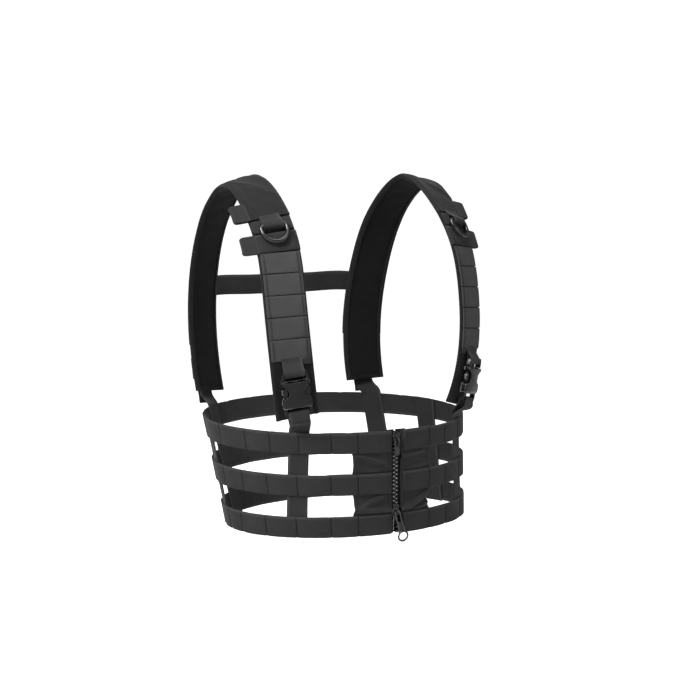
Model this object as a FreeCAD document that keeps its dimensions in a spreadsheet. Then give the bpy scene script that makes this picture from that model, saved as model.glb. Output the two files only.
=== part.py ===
import FreeCAD, Part

import math
import os

import Sketcher
from FreeCAD import Placement, Rotation, Vector

# A zip-front load-bearing harness vest in its worn shape: three rows of webbing round the
# ribs, two padded shoulder straps, side-release buckles, D-rings, cable loops and a two-way zip.
# Frame: +Z up, -Y is the wearer's front, -X the wearer's right. z = 0 is the belt's lower edge
# at the zip, and the Z axis is the middle of the belt's top row.

SIZES = {
    # belt, seen from above as an ellipse that narrows towards the waist
    "top_half_width": 183,
    "top_half_depth": 122.7,
    "low_half_width": 173,
    "low_half_depth": 97,
    "back_rise": 0.1,
    "row_width": 25.4,
    "row_count": 3,
    "row_thick": 1.4,
    "web_thick": 1.5,
    "web_width": 25.4,
    "layer_gap": 0.25,
    # places round the belt, in degrees of turn from the zip
    "panel_near_turn": 2.9,
    "panel_far_turn": 19.6,
    "front_upright_turn": 45.5,
    "side_upright_turn": 105.3,
    "back_upright_turn": 135.2,
    "side_bend_near_turn": 78,
    "side_bend_far_turn": 98,
    "panel_thick": 2.6,
    # zip
    "tooth_pitch": 5,
    "tooth_high": 2,
    "tooth_reach": 4.4,
    "tooth_lap": 1.1,
    "tooth_thick": 3,
    "tooth_count": 19,
    "teeth_from": 26.5,
    "pin_near": 0.3,
    "pin_far": 4.2,
    "pin_high": 17,
    "cord_at": 3.4,
    "cord_thick": 1.6,
    "tape_width": 13,
    "tape_thick": 1,
    "slider_width": 12,
    "slider_high": 14,
    "slider_wall": 1.3,
    "slider_hollow": 4,
    "slider_lip": 1.1,
    "slider_lip_gap": 2.4,
    "slider_post": 2.6,
    "bridge_stand": 4,
    "bridge_width": 2.4,
    "bridge_long": 9,
    "bridge_wall": 1.1,
    "pull_bar": 1.8,
    "pull_play": 0.6,
    "puller_width": 8.4,
    "puller_thick": 1.9,
    "puller_slot_width": 4.6,
    "puller_slot_long": 12,
    "puller_stem_long": 28.5,
    "puller_lean": 14,
    "puller_tilt": 5,
    "eye_high": 11.6,
    "eye_hole_high": 8,
    "eye_lap": 2.5,
    "tongue_width": 9,
    "tongue_long": 22,
    "tongue_thick": 1.6,
    "tongue_window_long": 5,
    "lower_slider_at": 29,
    "upper_slider_at": 119,
    # shoulder straps
    "pad_width": 52,
    "pad_thick": 6.5,
    "pad_depth": 3,
    "pals_width": 48,
    "pals_start": 74,
    "pals_end": 206,
    "cover_start": 254,
    "bend_start": 310,
    "bend_end": 372,
    "loop_high": 25,
    "loop_reach": 19,
    "loop_thick": 5,
    "loop_wall": 1.4,
    "lower_loop_at": 207,
    "upper_loop_at": 254,
    "ring_bar_at": 240,
    "ring_radius": 16,
    "ring_wire": 2.8,
    "ring_leg": 6,
    "ring_stand": 2.4,
    "keeper_tail": 13,
    # side-release buckle
    "buckle_mouth_at": 51,
    "buckle_stand": 5.4,
    "female_width": 35.5,
    "female_long": 43,
    "female_thick": 10,
    "female_thin": 6.4,
    "female_thin_long": 12,
    "cavity_width": 27,
    "cavity_thick": 6,
    "cavity_long": 27,
    "window_long": 16,
    "window_from": 4.5,
    "slot_width": 26.5,
    "slot_long": 3.6,
    "slot_bar": 4.5,
    "male_width": 33,
    "male_long": 12,
    "male_thick": 7,
    "male_slot_at": 1.6,
    "male_recess": 3,
    "guide_width": 6,
    "prong_thick": 5.4,
    "prong_width": 3.4,
    "prong_long": 24,
    "prong_from": 9.6,
    "head_width": 7.2,
    "head_long": 13.5,
    "prong_nose": 4.5,
    # back of the harness
    "lock_width": 34,
    "lock_long": 26,
    "lock_thick": 3.4,
    "lock_bar": 4.4,
    "lock_stand": 2.6,
    "lock_tab_from": 60,
    "lock_tab_long": 14,
    "lock_play": 1,
    "cross_at": 520,
    "cross_lap": 8,
    "cross_stand": 1.4,
    "cross_bow": 4,
    "glide_width": 33,
    "glide_high": 24,
    "glide_thick": 3.2,
    "glide_bar": 3.4,
}

# The middle of the left strap's outer face, from the pad's lower end on the belly, over the
# shoulder, to its lower end on the back.
STATIONS = {
    "belly": (126, -91, 147),
    "rib": (142, -99.5, 218),
    "chest": (147, -94, 290),
    "collar": (146, -80, 350),
    "cover": (144, -57, 390),
    "crest": (141, 10, 436),
    "shoulder": (139, 52, 412),
    "blade": (135, 100, 325),
    "loin": (130, 112, 240),
    "back": (127, 101, 165),
}

# Expressions that several pieces share: the y of the zip's middle, the y of a slider's front
# face, half a slider's height and the far end of a ladder lock.
ZIP_FACE = (
    "(2 * Sizes.layer_gap + Sizes.panel_thick + Sizes.tape_thick / 2 - Sizes.top_half_depth)"
)
SLIDER_FRONT = f"({ZIP_FACE} - Sizes.slider_hollow / 2 - Sizes.slider_wall)"
HALF_SLIDER = "Sizes.slider_high / 2"
LOCK_TOP = "(Sizes.lock_long - Sizes.lock_bar / 2)"

# How far the front upright stops from its slot's edge, the step it takes forwards above the
# top row, and how far the back upright stands off the strap's lower end.
SLOT_PLAY = 0.6
EASE_OUT = Vector(1.5, -2.4, 12)
TAIL_STAND = 0.8

doc = FreeCAD.newDocument("Vest")
sheet = doc.addObject("Spreadsheet::Sheet", "Sizes")
PARTS = []


def fill_sheet():
    """Writes every driving dimension to a cell with an alias."""
    named = dict(SIZES)
    for station, place in STATIONS.items():
        for axis, value in zip("xyz", place):
            named[f"{station}_{axis}"] = value
    for row, (alias, value) in enumerate(named.items(), start=1):
        sheet.set(f"A{row}", alias)
        sheet.set(f"B{row}", str(value))
        sheet.setAlias(f"B{row}", alias)
    doc.recompute()


def mm(alias):
    """A driving dimension, read back from the sheet."""
    return float(sheet.get(alias))


def keep(part, node):
    """Names a finished piece and puts it on the list that is written out."""
    part.Label = node
    PARTS.append(part)
    return part


def soft(node, shape):
    """A piece of cloth or webbing whose shape is worked out along a curved path."""
    piece = doc.addObject("Part::Feature", node)
    piece.Shape = shape
    return keep(piece, node)


def mirrored(shape, side):
    """The left-hand shape, or its mirror image for the wearer's right."""
    if side == "left":
        return shape
    return shape.mirror(Vector(0, 0, 0), Vector(1, 0, 0))


# ---------------------------------------------------------------- shapes along curved paths


def loft(sections, straight=False):
    """A closed solid through four-cornered sections, joined by straight or smooth faces."""
    wires = [Part.makePolygon([*corners, corners[0]]) for corners in sections]
    return Part.makeLoft(wires, True, straight)


def spread(first, last, count):
    """Evenly spaced numbers from first to last, both included."""
    return [first + (last - first) * i / (count - 1) for i in range(count)]


def belt_high():
    return mm("row_width") * (2 * mm("row_count") - 1)


def belt_point(turn, high, out=0.0):
    """A point of the belt: turn in degrees from the zip, height above its lower edge."""
    part_up = high / belt_high()
    half_width = mm("low_half_width") + (mm("top_half_width") - mm("low_half_width")) * part_up
    half_depth = mm("low_half_depth") + (mm("top_half_depth") - mm("low_half_depth")) * part_up
    middle = half_depth - mm("top_half_depth")
    angle = math.radians(turn)
    x = (half_width + out) * math.sin(angle)
    y = middle - (half_depth + out) * math.cos(angle)
    return Vector(x, y, high + mm("back_rise") * (y + mm("top_half_depth")))


def belt_band(turns, low, high, inner, outer):
    """Webbing or cloth that lies on the belt's surface between two turns and two heights."""
    count = max(3, round(abs(turns[1] - turns[0]) / 7) + 1)
    sections = []
    for turn in spread(turns[0], turns[1], count):
        corners = [(low, inner), (low, outer), (high, outer), (high, inner)]
        sections.append([belt_point(turn, z, out) for z, out in corners])
    return loft(sections)


def turn_span(width):
    """The turn, in degrees, that a width takes up near the front and back quarters."""
    return math.degrees(width / (0.5 * (mm("top_half_width") + mm("top_half_depth"))))


def strap_line():
    points = []
    for station in STATIONS:
        points.append(Vector(mm(station + "_x"), mm(station + "_y"), mm(station + "_z")))
    curve = Part.BSplineCurve()
    curve.interpolate(points)
    return curve.toShape()


def point_on(line, along):
    """The point and tangent at a distance along a curved edge."""
    place = line.getParameterByLength(min(along, line.Length * 0.99999))
    return line.valueAt(place), line.tangentAt(place)


def strap_frame(line, along):
    """The strap's centre point, upward tangent, outward width and outward normal."""
    point, tangent = point_on(line, along)
    chest = Vector(math.cos(math.radians(24)), math.sin(math.radians(24)), 0)
    crest = Vector(math.cos(math.radians(14)), 0, -math.sin(math.radians(14)))
    back = Vector(math.cos(math.radians(16)), -math.sin(math.radians(16)), 0)
    middle = 0.5 * (mm("bend_start") + mm("bend_end"))
    if along < middle:
        share = min(1.0, (middle - along) / 90.0)
        across = crest * (1 - share) + chest * share
    else:
        share = min(1.0, (along - middle) / 90.0)
        across = crest * (1 - share) + back * share
    across = across - tangent * across.dot(tangent)
    across.normalize()
    normal = across.cross(tangent)
    return point, tangent, across, normal


def strap_band(line, span, sides, depths):
    """Cloth along the left strap: lengthwise span, sideways reach, depths along the normal."""
    count = max(3, round((span[1] - span[0]) / 16) + 1)
    sections = []
    for along in spread(span[0], span[1], count):
        point, _, across, normal = strap_frame(line, along)
        corners = [(sides[0], depths[0]), (sides[1], depths[0]), (sides[1], depths[1])]
        corners.append((sides[0], depths[1]))
        sections.append([point + across * a + normal * b for a, b in corners])
    return loft(sections)


def path_sections(points, across):
    """Sections of webbing that is centred on a line of points, with one width direction."""
    curve = Part.BSplineCurve()
    curve.interpolate(points)
    line = curve.toShape()
    sections = []
    for along in spread(0, line.Length, 2 * len(points) + 1):
        point, tangent = point_on(line, along)
        side = (across - tangent * across.dot(tangent)).normalize()
        normal = side.cross(tangent)
        a = side * (mm("web_width") / 2)
        b = normal * (mm("web_thick") / 2)
        sections.append([point - a - b, point + a - b, point + a + b, point - a + b])
    return sections


# ---------------------------------------------------------------- solids bound to the sheet


def block(name, width, depth, high, x="0", y="0", z="0"):
    """A box centred on x and y that stands on z, every value an expression."""
    box = doc.addObject("Part::Box", name)
    box.setExpression("Length", width)
    box.setExpression("Width", depth)
    box.setExpression("Height", high)
    box.setExpression("Placement.Base.x", f"({x}) - ({width}) / 2")
    box.setExpression("Placement.Base.y", f"({y}) - ({depth}) / 2")
    box.setExpression("Placement.Base.z", z)
    return box


def rod(name, radius, length, along, x="0", y="0", z="0"):
    """A cylinder centred on a point, along X, Y or Z."""
    cylinder = doc.addObject("Part::Cylinder", name)
    cylinder.setExpression("Radius", radius)
    cylinder.setExpression("Height", length)
    starts = {"x": x, "y": y, "z": z}
    starts[along] = f"({starts[along]}) - ({length}) / 2"
    turns = {"x": Rotation(Vector(0, 1, 0), 90), "y": Rotation(Vector(1, 0, 0), -90)}
    cylinder.Placement.Rotation = turns.get(along, Rotation())
    for axis, start in starts.items():
        cylinder.setExpression("Placement.Base." + axis, start)
    return cylinder


def joined(name, pieces):
    fused = doc.addObject("Part::MultiFuse", name)
    fused.Shapes = pieces
    fused.Refine = True
    return fused


def carved(name, base, tools):
    cut = doc.addObject("Part::Cut", name)
    cut.Base = base
    cut.Tool = tools[0] if len(tools) == 1 else joined(name + "_tools", tools)
    cut.Refine = True
    return cut


def rounded(name, base, radius, chosen):
    """Fillets the edges of base that chosen(edge) picks."""
    doc.recompute()
    fillet = doc.addObject("Part::Fillet", name)
    fillet.Base = base
    picked = [i for i, edge in enumerate(base.Shape.Edges, start=1) if chosen(edge)]
    fillet.Edges = [(i, radius, radius) for i in picked]
    return fillet


def runs_along(edge, axis, at_least=0.0):
    """Whether an edge is straight, along the axis and longer than a length."""
    if edge.Curve.TypeId != "Part::GeomLine" or edge.Length < at_least:
        return False
    start, end = edge.Vertexes[0].Point, edge.Vertexes[-1].Point
    return abs((end - start).normalize().dot(axis)) > 0.999


def frame_placement(point, across, tangent):
    """A placement whose X is across, Z is the tangent and -Y faces outwards."""
    side = Vector(across) if across.x > 0 else Vector(across) * -1
    depth = tangent.cross(side)
    matrix = FreeCAD.Matrix(
        side.x, depth.x, tangent.x, point.x,
        side.y, depth.y, tangent.y, point.y,
        side.z, depth.z, tangent.z, point.z,
        0, 0, 0, 1,
    )
    return Placement(matrix)


def on_strap(line, side, along, stand):
    """The placement of hardware on a strap, standing off its face."""
    point, tangent, across, normal = strap_frame(line, along)
    point = point + normal * stand
    if side == "right":
        point, tangent, across = [Vector(-v.x, v.y, v.z) for v in (point, tangent, across)]
    return frame_placement(point, across, tangent)


# ---------------------------------------------------------------- belt


def build_rows():
    """Three rows of webbing: a front piece, a bend at the side and the run round the back."""
    bends = {"left": [], "right": []}
    names = ["low", "mid", "top"]
    near = mm("side_bend_near_turn")
    far = mm("side_bend_far_turn")
    for index, name in enumerate(names):
        low = 2 * index * mm("row_width")
        high = low + mm("row_width")
        faces = (low, high, 0.0, mm("row_thick"))
        soft(f"row_{name}_back", belt_band((far, 360 - far), *faces))
        for side in ("left", "right"):
            front = belt_band((mm("panel_near_turn"), near), *faces)
            soft(f"row_{name}_front_{side}", mirrored(front, side))
            bends[side].append(mirrored(belt_band((near, far), *faces), side))
    for side, solids in bends.items():
        soft(f"side_bend_{side}", Part.makeCompound(solids))


def build_panels_and_uprights(line):
    behind = -mm("layer_gap")
    back = behind - mm("web_thick")
    span = turn_span(mm("web_width")) / 2
    for side in ("left", "right"):
        turns = (mm("panel_near_turn"), mm("panel_far_turn"))
        panel = belt_band(turns, 0, belt_high(), behind - mm("panel_thick"), behind)
        soft(f"front_panel_{side}", mirrored(panel, side))
        turn = mm("side_upright_turn")
        upright = belt_band((turn - span, turn + span), 0, belt_high(), back, behind)
        soft(f"side_upright_{side}", mirrored(upright, side))
        soft(f"front_upright_{side}", mirrored(front_upright(line), side))
        soft(f"back_upright_{side}", mirrored(back_upright(line), side))


def upright(turn, onward, across):
    """Webbing that lies behind the rows and runs on above them through the onward points."""
    span = turn_span(mm("web_width")) / 2
    outer = -mm("layer_gap")
    inner = outer - mm("web_thick")
    corners = [(turn - span, inner), (turn + span, inner), (turn + span, outer)]
    corners.append((turn - span, outer))
    behind_rows = [
        [belt_point(place, high, out) for place, out in corners]
        for high in (0, belt_high())
    ]
    middle = belt_point(turn, belt_high(), (inner + outer) / 2)
    return loft(behind_rows + path_sections([middle, *onward], across)[1:], straight=True)


def front_upright(line):
    """The webbing that comes out above the top row and holds the buckle's lower half."""
    slot = mm("buckle_mouth_at") - mm("female_long") + mm("slot_bar") + SLOT_PLAY
    end, _, across, normal = strap_frame(line, slot)
    top = belt_point(mm("front_upright_turn"), belt_high())
    onward = [top + EASE_OUT, end + normal * mm("buckle_stand")]
    return upright(mm("front_upright_turn"), onward, across)


def lock_start(line):
    """How far along the strap the middle of the ladder lock's upper bar is."""
    return line.Length - mm("lock_tab_from") + mm("lock_tab_long") + mm("lock_bar")


def back_upright(line):
    """The webbing that comes out above the top row at the back and runs up to the lock."""
    lock_end = lock_start(line) + mm("lock_long") - mm("lock_bar") / 2
    onward = []
    for along, stand in ((line.Length, TAIL_STAND), (lock_end + mm("lock_play"), mm("lock_stand"))):
        point, _, across, normal = strap_frame(line, along)
        onward.append(point + normal * stand)
    return upright(mm("back_upright_turn"), onward, across * -1)


def build_tapes():
    """The woven tapes behind the panels, one on each side of the teeth."""
    for side, sign in (("left", "1"), ("right", "-1")):
        tape = block(
            f"tape_{side}", "Sizes.tape_width", "Sizes.tape_thick",
            "Sizes.row_width * (2 * Sizes.row_count - 1)",
            x=f"{sign} * (Sizes.tape_width / 2 + Sizes.cord_at + 1)",
            y=f"{ZIP_FACE} + Sizes.tape_thick / 2",
        )
        keep(tape, f"zip_tape_{side}")


def new_sketch(body, plane, name):
    """A sketch on one of its own body's origin planes."""
    sketch = body.newObject("Sketcher::SketchObject", name)
    origin = next(f for f in body.Origin.OriginFeatures if f.Role == plane)
    sketch.AttachmentSupport = (origin, [""])
    sketch.MapMode = "FlatFace"
    return sketch


def rectangle(sketch, name, limits):
    """A rectangle whose left, right, low and high sides are expressions from the origin."""
    first = sketch.GeometryCount
    corners = [Vector(-1, -1, 0), Vector(1, -1, 0), Vector(1, 1, 0), Vector(-1, 1, 0)]
    for i in range(4):
        sketch.addGeometry(Part.LineSegment(corners[i], corners[(i + 1) % 4]), False)
    for i in range(4):
        ends = (first + i, 2, first + (i + 1) % 4, 1)
        sketch.addConstraint(Sketcher.Constraint("Coincident", *ends))
    for i, kind in enumerate(["Horizontal", "Vertical", "Horizontal", "Vertical"]):
        sketch.addConstraint(Sketcher.Constraint(kind, first + i))
    places = [("DistanceX", 0), ("DistanceX", 1), ("DistanceY", 0), ("DistanceY", 2)]
    for (kind, line), limit, label in zip(places, limits, ["left", "right", "low", "high"]):
        start = -1.0 if label in ("left", "low") else 1.0
        made = Sketcher.Constraint(kind, -1, 1, first + line, 1, start)
        number = sketch.addConstraint(made)
        sketch.renameConstraint(number, f"{name}_{label}")
        sketch.setExpression(f"Constraints.{name}_{label}", limit)


def circle(sketch, name, radius, x="0", y="0"):
    number = sketch.addGeometry(Part.Circle(Vector(0, 0, 0), Vector(0, 0, 1), 1.0), False)
    made = [
        ("radius", Sketcher.Constraint("Radius", number, 1.0), radius),
        ("x", Sketcher.Constraint("DistanceX", -1, 1, number, 3, 0.5), x),
        ("y", Sketcher.Constraint("DistanceY", -1, 1, number, 3, 0.5), y),
    ]
    for label, constraint, value in made:
        index = sketch.addConstraint(constraint)
        sketch.renameConstraint(index, f"{name}_{label}")
        sketch.setExpression(f"Constraints.{name}_{label}", value)


def pad(body, sketch, length, symmetric=False):
    raised = body.newObject("PartDesign::Pad", sketch.Name + "_pad")
    raised.Profile = sketch
    raised.setExpression("Length", length)
    raised.Midplane = symmetric
    body.Tip = raised
    return raised


def sideways(side, near, far):
    """Left and right limits of something between two distances from the middle plane."""
    return [near, far] if side == "left" else [f"-({far})", f"-({near})"]


def build_teeth():
    """A cord down each tape with moulded teeth that reach past the middle in turn."""
    half_cord = "Sizes.cord_thick / 2"
    half_tooth = "Sizes.tooth_thick / 2"
    for side, stagger in (("left", "0"), ("right", "0.5")):
        body = doc.addObject("PartDesign::Body", f"teeth_{side}")
        cord = new_sketch(body, "XY_Plane", f"cord_{side}")
        near, far = f"Sizes.cord_at - {half_cord}", f"Sizes.cord_at + {half_cord}"
        depth = [f"{ZIP_FACE} - {half_cord}", f"{ZIP_FACE} + {half_cord}"]
        rectangle(cord, "cord", [*sideways(side, near, far), *depth])
        pad(body, cord, "Sizes.row_width * (2 * Sizes.row_count - 1)")
        depth = [f"{ZIP_FACE} - {half_tooth}", f"{ZIP_FACE} + {half_tooth}"]
        pin = new_sketch(body, "XY_Plane", f"pin_{side}")
        rectangle(pin, "pin", [*sideways(side, "Sizes.pin_near", "Sizes.pin_far"), *depth])
        pad(body, pin, "Sizes.pin_high")
        tooth = new_sketch(body, "XY_Plane", f"tooth_{side}")
        bottom = f"Sizes.teeth_from + {stagger} * Sizes.tooth_pitch"
        tooth.setExpression("AttachmentOffset.Base.z", bottom)
        limits = sideways(side, "-Sizes.tooth_lap", "Sizes.tooth_reach")
        rectangle(tooth, "tooth", [*limits, *depth])
        first = pad(body, tooth, "Sizes.tooth_high")
        row = body.newObject("PartDesign::LinearPattern", f"row_{side}")
        row.Originals = [first]
        axis = next(f for f in body.Origin.OriginFeatures if f.Role == "Z_Axis")
        row.Direction = (axis, [""])
        row.setExpression("Occurrences", "Sizes.tooth_count")
        row.setExpression("Length", "(Sizes.tooth_count - 1) * Sizes.tooth_pitch")
        body.Tip = row
        keep(body, f"zip_teeth_{side}")


def build_slider(name, at, post_at):
    """Front and back plates with curled edges, a post between them and a bridge in front."""
    plate = "Sizes.slider_wall"
    apart = "(Sizes.slider_hollow + Sizes.slider_wall) / 2"
    pieces = []
    for face, sign in (("front", "-1"), ("rear", "1")):
        where = f"{ZIP_FACE} + ({sign}) * {apart}"
        pieces.append(block(
            f"{name}_{face}", "Sizes.slider_width", plate, "Sizes.slider_high",
            y=where, z=f"{at} - Sizes.slider_high / 2",
        ))
        lip = "(Sizes.slider_hollow - Sizes.slider_lip_gap) / 2"
        for edge in ("-1", "1"):
            pieces.append(block(
                f"{name}_{face}_lip_{'a' if edge == '1' else 'b'}", "Sizes.slider_lip", lip,
                "Sizes.slider_high",
                x=f"{edge} * (Sizes.slider_width - Sizes.slider_lip) / 2",
                y=f"{ZIP_FACE} + ({sign}) * (Sizes.slider_hollow / 2 - {lip} / 2)",
                z=f"{at} - Sizes.slider_high / 2",
            ))
    pieces.append(block(
        f"{name}_post", "Sizes.slider_post", "Sizes.slider_hollow + Sizes.slider_wall",
        "Sizes.slider_post", y=ZIP_FACE, z=post_at,
    ))
    outside = block(
        f"{name}_bridge_out", "Sizes.bridge_width", "Sizes.bridge_stand", "Sizes.bridge_long",
        y=f"{SLIDER_FRONT} - Sizes.bridge_stand / 2", z=f"{at} - Sizes.bridge_long / 2",
    )
    inside = block(
        f"{name}_bridge_in", "2 * Sizes.bridge_width", "Sizes.bridge_stand",
        "Sizes.bridge_long - 2 * Sizes.bridge_wall",
        y=f"{SLIDER_FRONT} + Sizes.bridge_wall - Sizes.bridge_stand / 2",
        z=f"{at} - Sizes.bridge_long / 2 + Sizes.bridge_wall",
    )
    pieces.append(carved(f"{name}_bridge", outside, [inside]))
    return keep(joined(f"{name}_made", pieces), name)


def pull_pivot(at):
    """Where a pull hangs in its slider's bridge."""
    low = at - mm("bridge_long") / 2 + mm("bridge_wall") + mm("pull_bar") / 2 + mm("pull_play")
    inner = mm("bridge_stand") - mm("bridge_wall")
    return Vector(0, slider_front() - inner / 2, low)


def slider_front():
    """The y of a slider's front face."""
    return zip_face() - mm("slider_hollow") / 2 - mm("slider_wall")


def zip_face():
    """The y of the middle of the zip's teeth and tapes."""
    behind = 2 * mm("layer_gap") + mm("panel_thick") + mm("tape_thick") / 2
    return behind - mm("top_half_depth")


def build_puller():
    """The long metal puller: two rails, a web and a flared eye, hung from its top bar."""
    body = doc.addObject("PartDesign::Body", "puller")
    outline = new_sketch(body, "XZ_Plane", "puller_outline")
    half = "Sizes.puller_width / 2"
    top = "Sizes.pull_bar / 2"
    rectangle(outline, "stem", [f"-{half}", half, "-Sizes.puller_stem_long", top])
    pad(body, outline, "Sizes.puller_thick", symmetric=True)
    eye = new_sketch(body, "XZ_Plane", "puller_eye")
    low = "-Sizes.puller_stem_long - Sizes.eye_high / 2 + Sizes.eye_lap"
    circle(eye, "eye", "Sizes.eye_high / 2", y=low)
    pad(body, eye, "Sizes.puller_thick", symmetric=True)
    doc.recompute()
    whole = body.Shape.Volume
    for name in ("slot", "hole"):
        sketch = new_sketch(body, "XZ_Plane", "puller_" + name)
        if name == "slot":
            puller_slot(sketch)
        else:
            circle(sketch, name, "Sizes.eye_hole_high / 2", y=low)
        pocket = body.newObject("PartDesign::Pocket", "puller_" + name + "_cut")
        pocket.Profile = sketch
        pocket.Midplane = True
        pocket.setExpression("Length", "3 * Sizes.puller_thick")
        body.Tip = pocket
        doc.recompute()
        if body.Shape.Volume > whole - 1:
            raise RuntimeError("the puller's " + name + " cut nothing")
        whole = body.Shape.Volume
    tilt = Rotation(Vector(1, 0, 0), -mm("puller_tilt"))
    lean = Rotation(Vector(0, 1, 0), -mm("puller_lean"))
    body.Placement = Placement(pull_pivot(mm("lower_slider_at")), tilt * lean)
    keep(body, "lower_pull")


def puller_slot(sketch):
    half = "Sizes.puller_slot_width / 2"
    top = "-Sizes.pull_bar / 2"
    rectangle(sketch, "slot", [f"-{half}", half, f"{top} - Sizes.puller_slot_long", top])


def build_tongue_pull():
    """The short flat pull of the upper slider, with a window at its top."""
    flat = block(
        "tongue_flat", "Sizes.tongue_width", "Sizes.tongue_thick", "Sizes.tongue_long",
        z="Sizes.pull_bar / 2 - Sizes.tongue_long",
    )
    window = block(
        "tongue_window", "Sizes.puller_slot_width", "3 * Sizes.tongue_thick",
        "Sizes.tongue_window_long", z="-Sizes.pull_bar / 2 - Sizes.tongue_window_long",
    )
    tongue = carved("tongue", flat, [window])
    tongue.Placement = Placement(pull_pivot(mm("upper_slider_at")), Rotation())
    keep(tongue, "upper_pull")


# ---------------------------------------------------------------- shoulder straps


def build_strap(line, side):
    pad_low = -mm("pad_depth") - mm("pad_thick")
    pad_high = -mm("pad_depth")
    skin_low = pad_high + mm("layer_gap")
    skin_high = skin_low + mm("web_thick")
    half = mm("pad_width") / 2
    sides = (-half, half)
    bend = (mm("bend_start"), mm("bend_end"))

    def piece(node, *bands):
        solids = [strap_band(line, *band) for band in bands]
        shape = solids[0] if len(solids) == 1 else Part.makeCompound(solids)
        soft(f"{node}_{side}", mirrored(shape, side))

    piece("strap_pad_front", ((0, bend[0]), sides, (pad_low, pad_high)))
    piece("shoulder_bend", (bend, sides, (pad_low, skin_high)))
    piece("shoulder_cover", ((mm("cover_start"), bend[0]), sides, (skin_low, skin_high)))
    end = line.Length
    tab = (end - mm("lock_tab_from"), end - mm("lock_tab_from") + mm("lock_tab_long"))
    tab_half = mm("web_width") / 2
    tab_low = skin_high + mm("layer_gap")
    piece(
        "strap_pad_rear",
        ((bend[1], end), sides, (pad_low, skin_high)),
        (tab, (-tab_half, tab_half), (tab_low, tab_low + mm("web_thick"))),
    )
    pals = mm("pals_width") / 2
    pals_span = (mm("pals_start"), mm("pals_end"))
    piece("strap_pals", (pals_span, (-pals, pals), (skin_low, skin_high)))
    build_loops(line, side, skin_low, skin_high)


def build_loops(line, side, skin_low, skin_high):
    """Two flat tunnels of webbing at the strap's outer edge, the lower with its band."""
    half = mm("pad_width") / 2
    near, far = half + mm("layer_gap"), half + mm("layer_gap") + mm("loop_reach")
    top = skin_high
    wall = mm("loop_wall")
    solids = []
    for start in (mm("lower_loop_at"), mm("upper_loop_at")):
        span = (start, start + mm("loop_high"))
        depths = (top - mm("loop_thick"), top)
        outside = strap_band(line, span, (near, far), depths)
        through = (span[0] - 2, span[1] + 2)
        hollow = (depths[0] + wall, depths[1] - wall)
        inside = strap_band(line, through, (near + wall, far - wall), hollow)
        solids.append(outside.cut(inside))
    start = mm("lower_loop_at")
    span = (start, start + mm("loop_high"))
    solids.append(strap_band(line, span, (-half, half), (skin_low, skin_high)))
    soft(f"cable_loops_{side}", mirrored(Part.makeCompound(solids), side))


def build_ring(line, side):
    """A bent-wire D: a straight bar, two short legs and a half circle."""
    wire = "Sizes.ring_wire"
    bar = rod(f"ring_bar_{side}", wire, "2 * Sizes.ring_radius", "x")
    curve = doc.addObject("Part::Torus", f"ring_bow_{side}")
    curve.setExpression("Radius1", "Sizes.ring_radius")
    curve.setExpression("Radius2", wire)
    curve.Angle3 = 180
    curve.Placement.Rotation = Rotation(Vector(1, 0, 0), -90)
    curve.setExpression("Placement.Base.z", "-Sizes.ring_leg")
    pieces = [bar, curve]
    for name, sign in (("a", "1"), ("b", "-1")):
        corner = doc.addObject("Part::Sphere", f"ring_corner_{name}_{side}")
        corner.setExpression("Radius", wire)
        corner.setExpression("Placement.Base.x", f"{sign} * Sizes.ring_radius")
        pieces.append(corner)
        pieces.append(rod(
            f"ring_leg_{name}_{side}", wire, "Sizes.ring_leg", "z",
            x=f"{sign} * Sizes.ring_radius", z="-Sizes.ring_leg / 2",
        ))
    ring = joined(f"ring_{side}", pieces)
    ring.Placement = on_strap(line, side, mm("ring_bar_at"), mm("ring_stand"))
    keep(ring, f"d_ring_{side}")
    inner = "Sizes.ring_wire + Sizes.layer_gap"
    outer = f"({inner} + Sizes.web_thick)"
    tube = rod(f"keeper_tube_{side}", outer, "Sizes.web_width", "x")
    tail = block(
        f"keeper_tail_{side}", "Sizes.web_width", "Sizes.web_thick", "Sizes.keeper_tail",
        y=f"{outer} - Sizes.web_thick / 2",
    )
    hole = rod(f"keeper_hole_{side}", inner, "2 * Sizes.web_width", "x")
    solid = joined(f"keeper_solid_{side}", [tube, tail])
    keeper = carved(f"keeper_{side}", solid, [hole])
    keeper.Placement = on_strap(line, side, mm("ring_bar_at"), mm("ring_stand"))
    keep(keeper, f"d_ring_keeper_{side}")


# ---------------------------------------------------------------- side-release buckles


def build_female(line, side):
    """The buckle's lower half: a hollow shell with side windows and a webbing slot."""
    name = f"female_{side}"
    shell = block(
        name + "_shell", "Sizes.female_width", "Sizes.female_thick", "Sizes.female_long",
        z="-Sizes.female_long",
    )
    softened = rounded(name + "_soft", shell, 2.4, lambda e: runs_along(e, Vector(0, 0, 1)))
    cavity = block(
        name + "_cavity", "Sizes.cavity_width", "Sizes.cavity_thick",
        "Sizes.cavity_long + 1", z="-Sizes.cavity_long",
    )
    slot = block(
        name + "_slot", "Sizes.slot_width", "2 * Sizes.female_thick", "Sizes.slot_long",
        z="-Sizes.female_long + Sizes.slot_bar",
    )
    tools = [cavity, slot]
    for label, sign in (("a", "1"), ("b", "-1")):
        tools.append(block(
            f"{name}_window_{label}", "Sizes.female_width", "2 * Sizes.female_thick",
            "Sizes.window_long",
            x=f"{sign} * (Sizes.cavity_width + Sizes.female_width) / 2",
            z="-Sizes.window_from - Sizes.window_long",
        ))
        tools.append(block(
            f"{name}_thinning_{label}", "2 * Sizes.female_width", "Sizes.female_thick",
            "Sizes.female_thin_long",
            y=f"{sign} * (Sizes.female_thick - Sizes.female_thin)",
            z="-Sizes.female_long",
        ))
    female = carved(name, softened, tools)
    female.Placement = on_strap(line, side, mm("buckle_mouth_at"), mm("buckle_stand"))
    keep(female, f"buckle_female_{side}")


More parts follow.
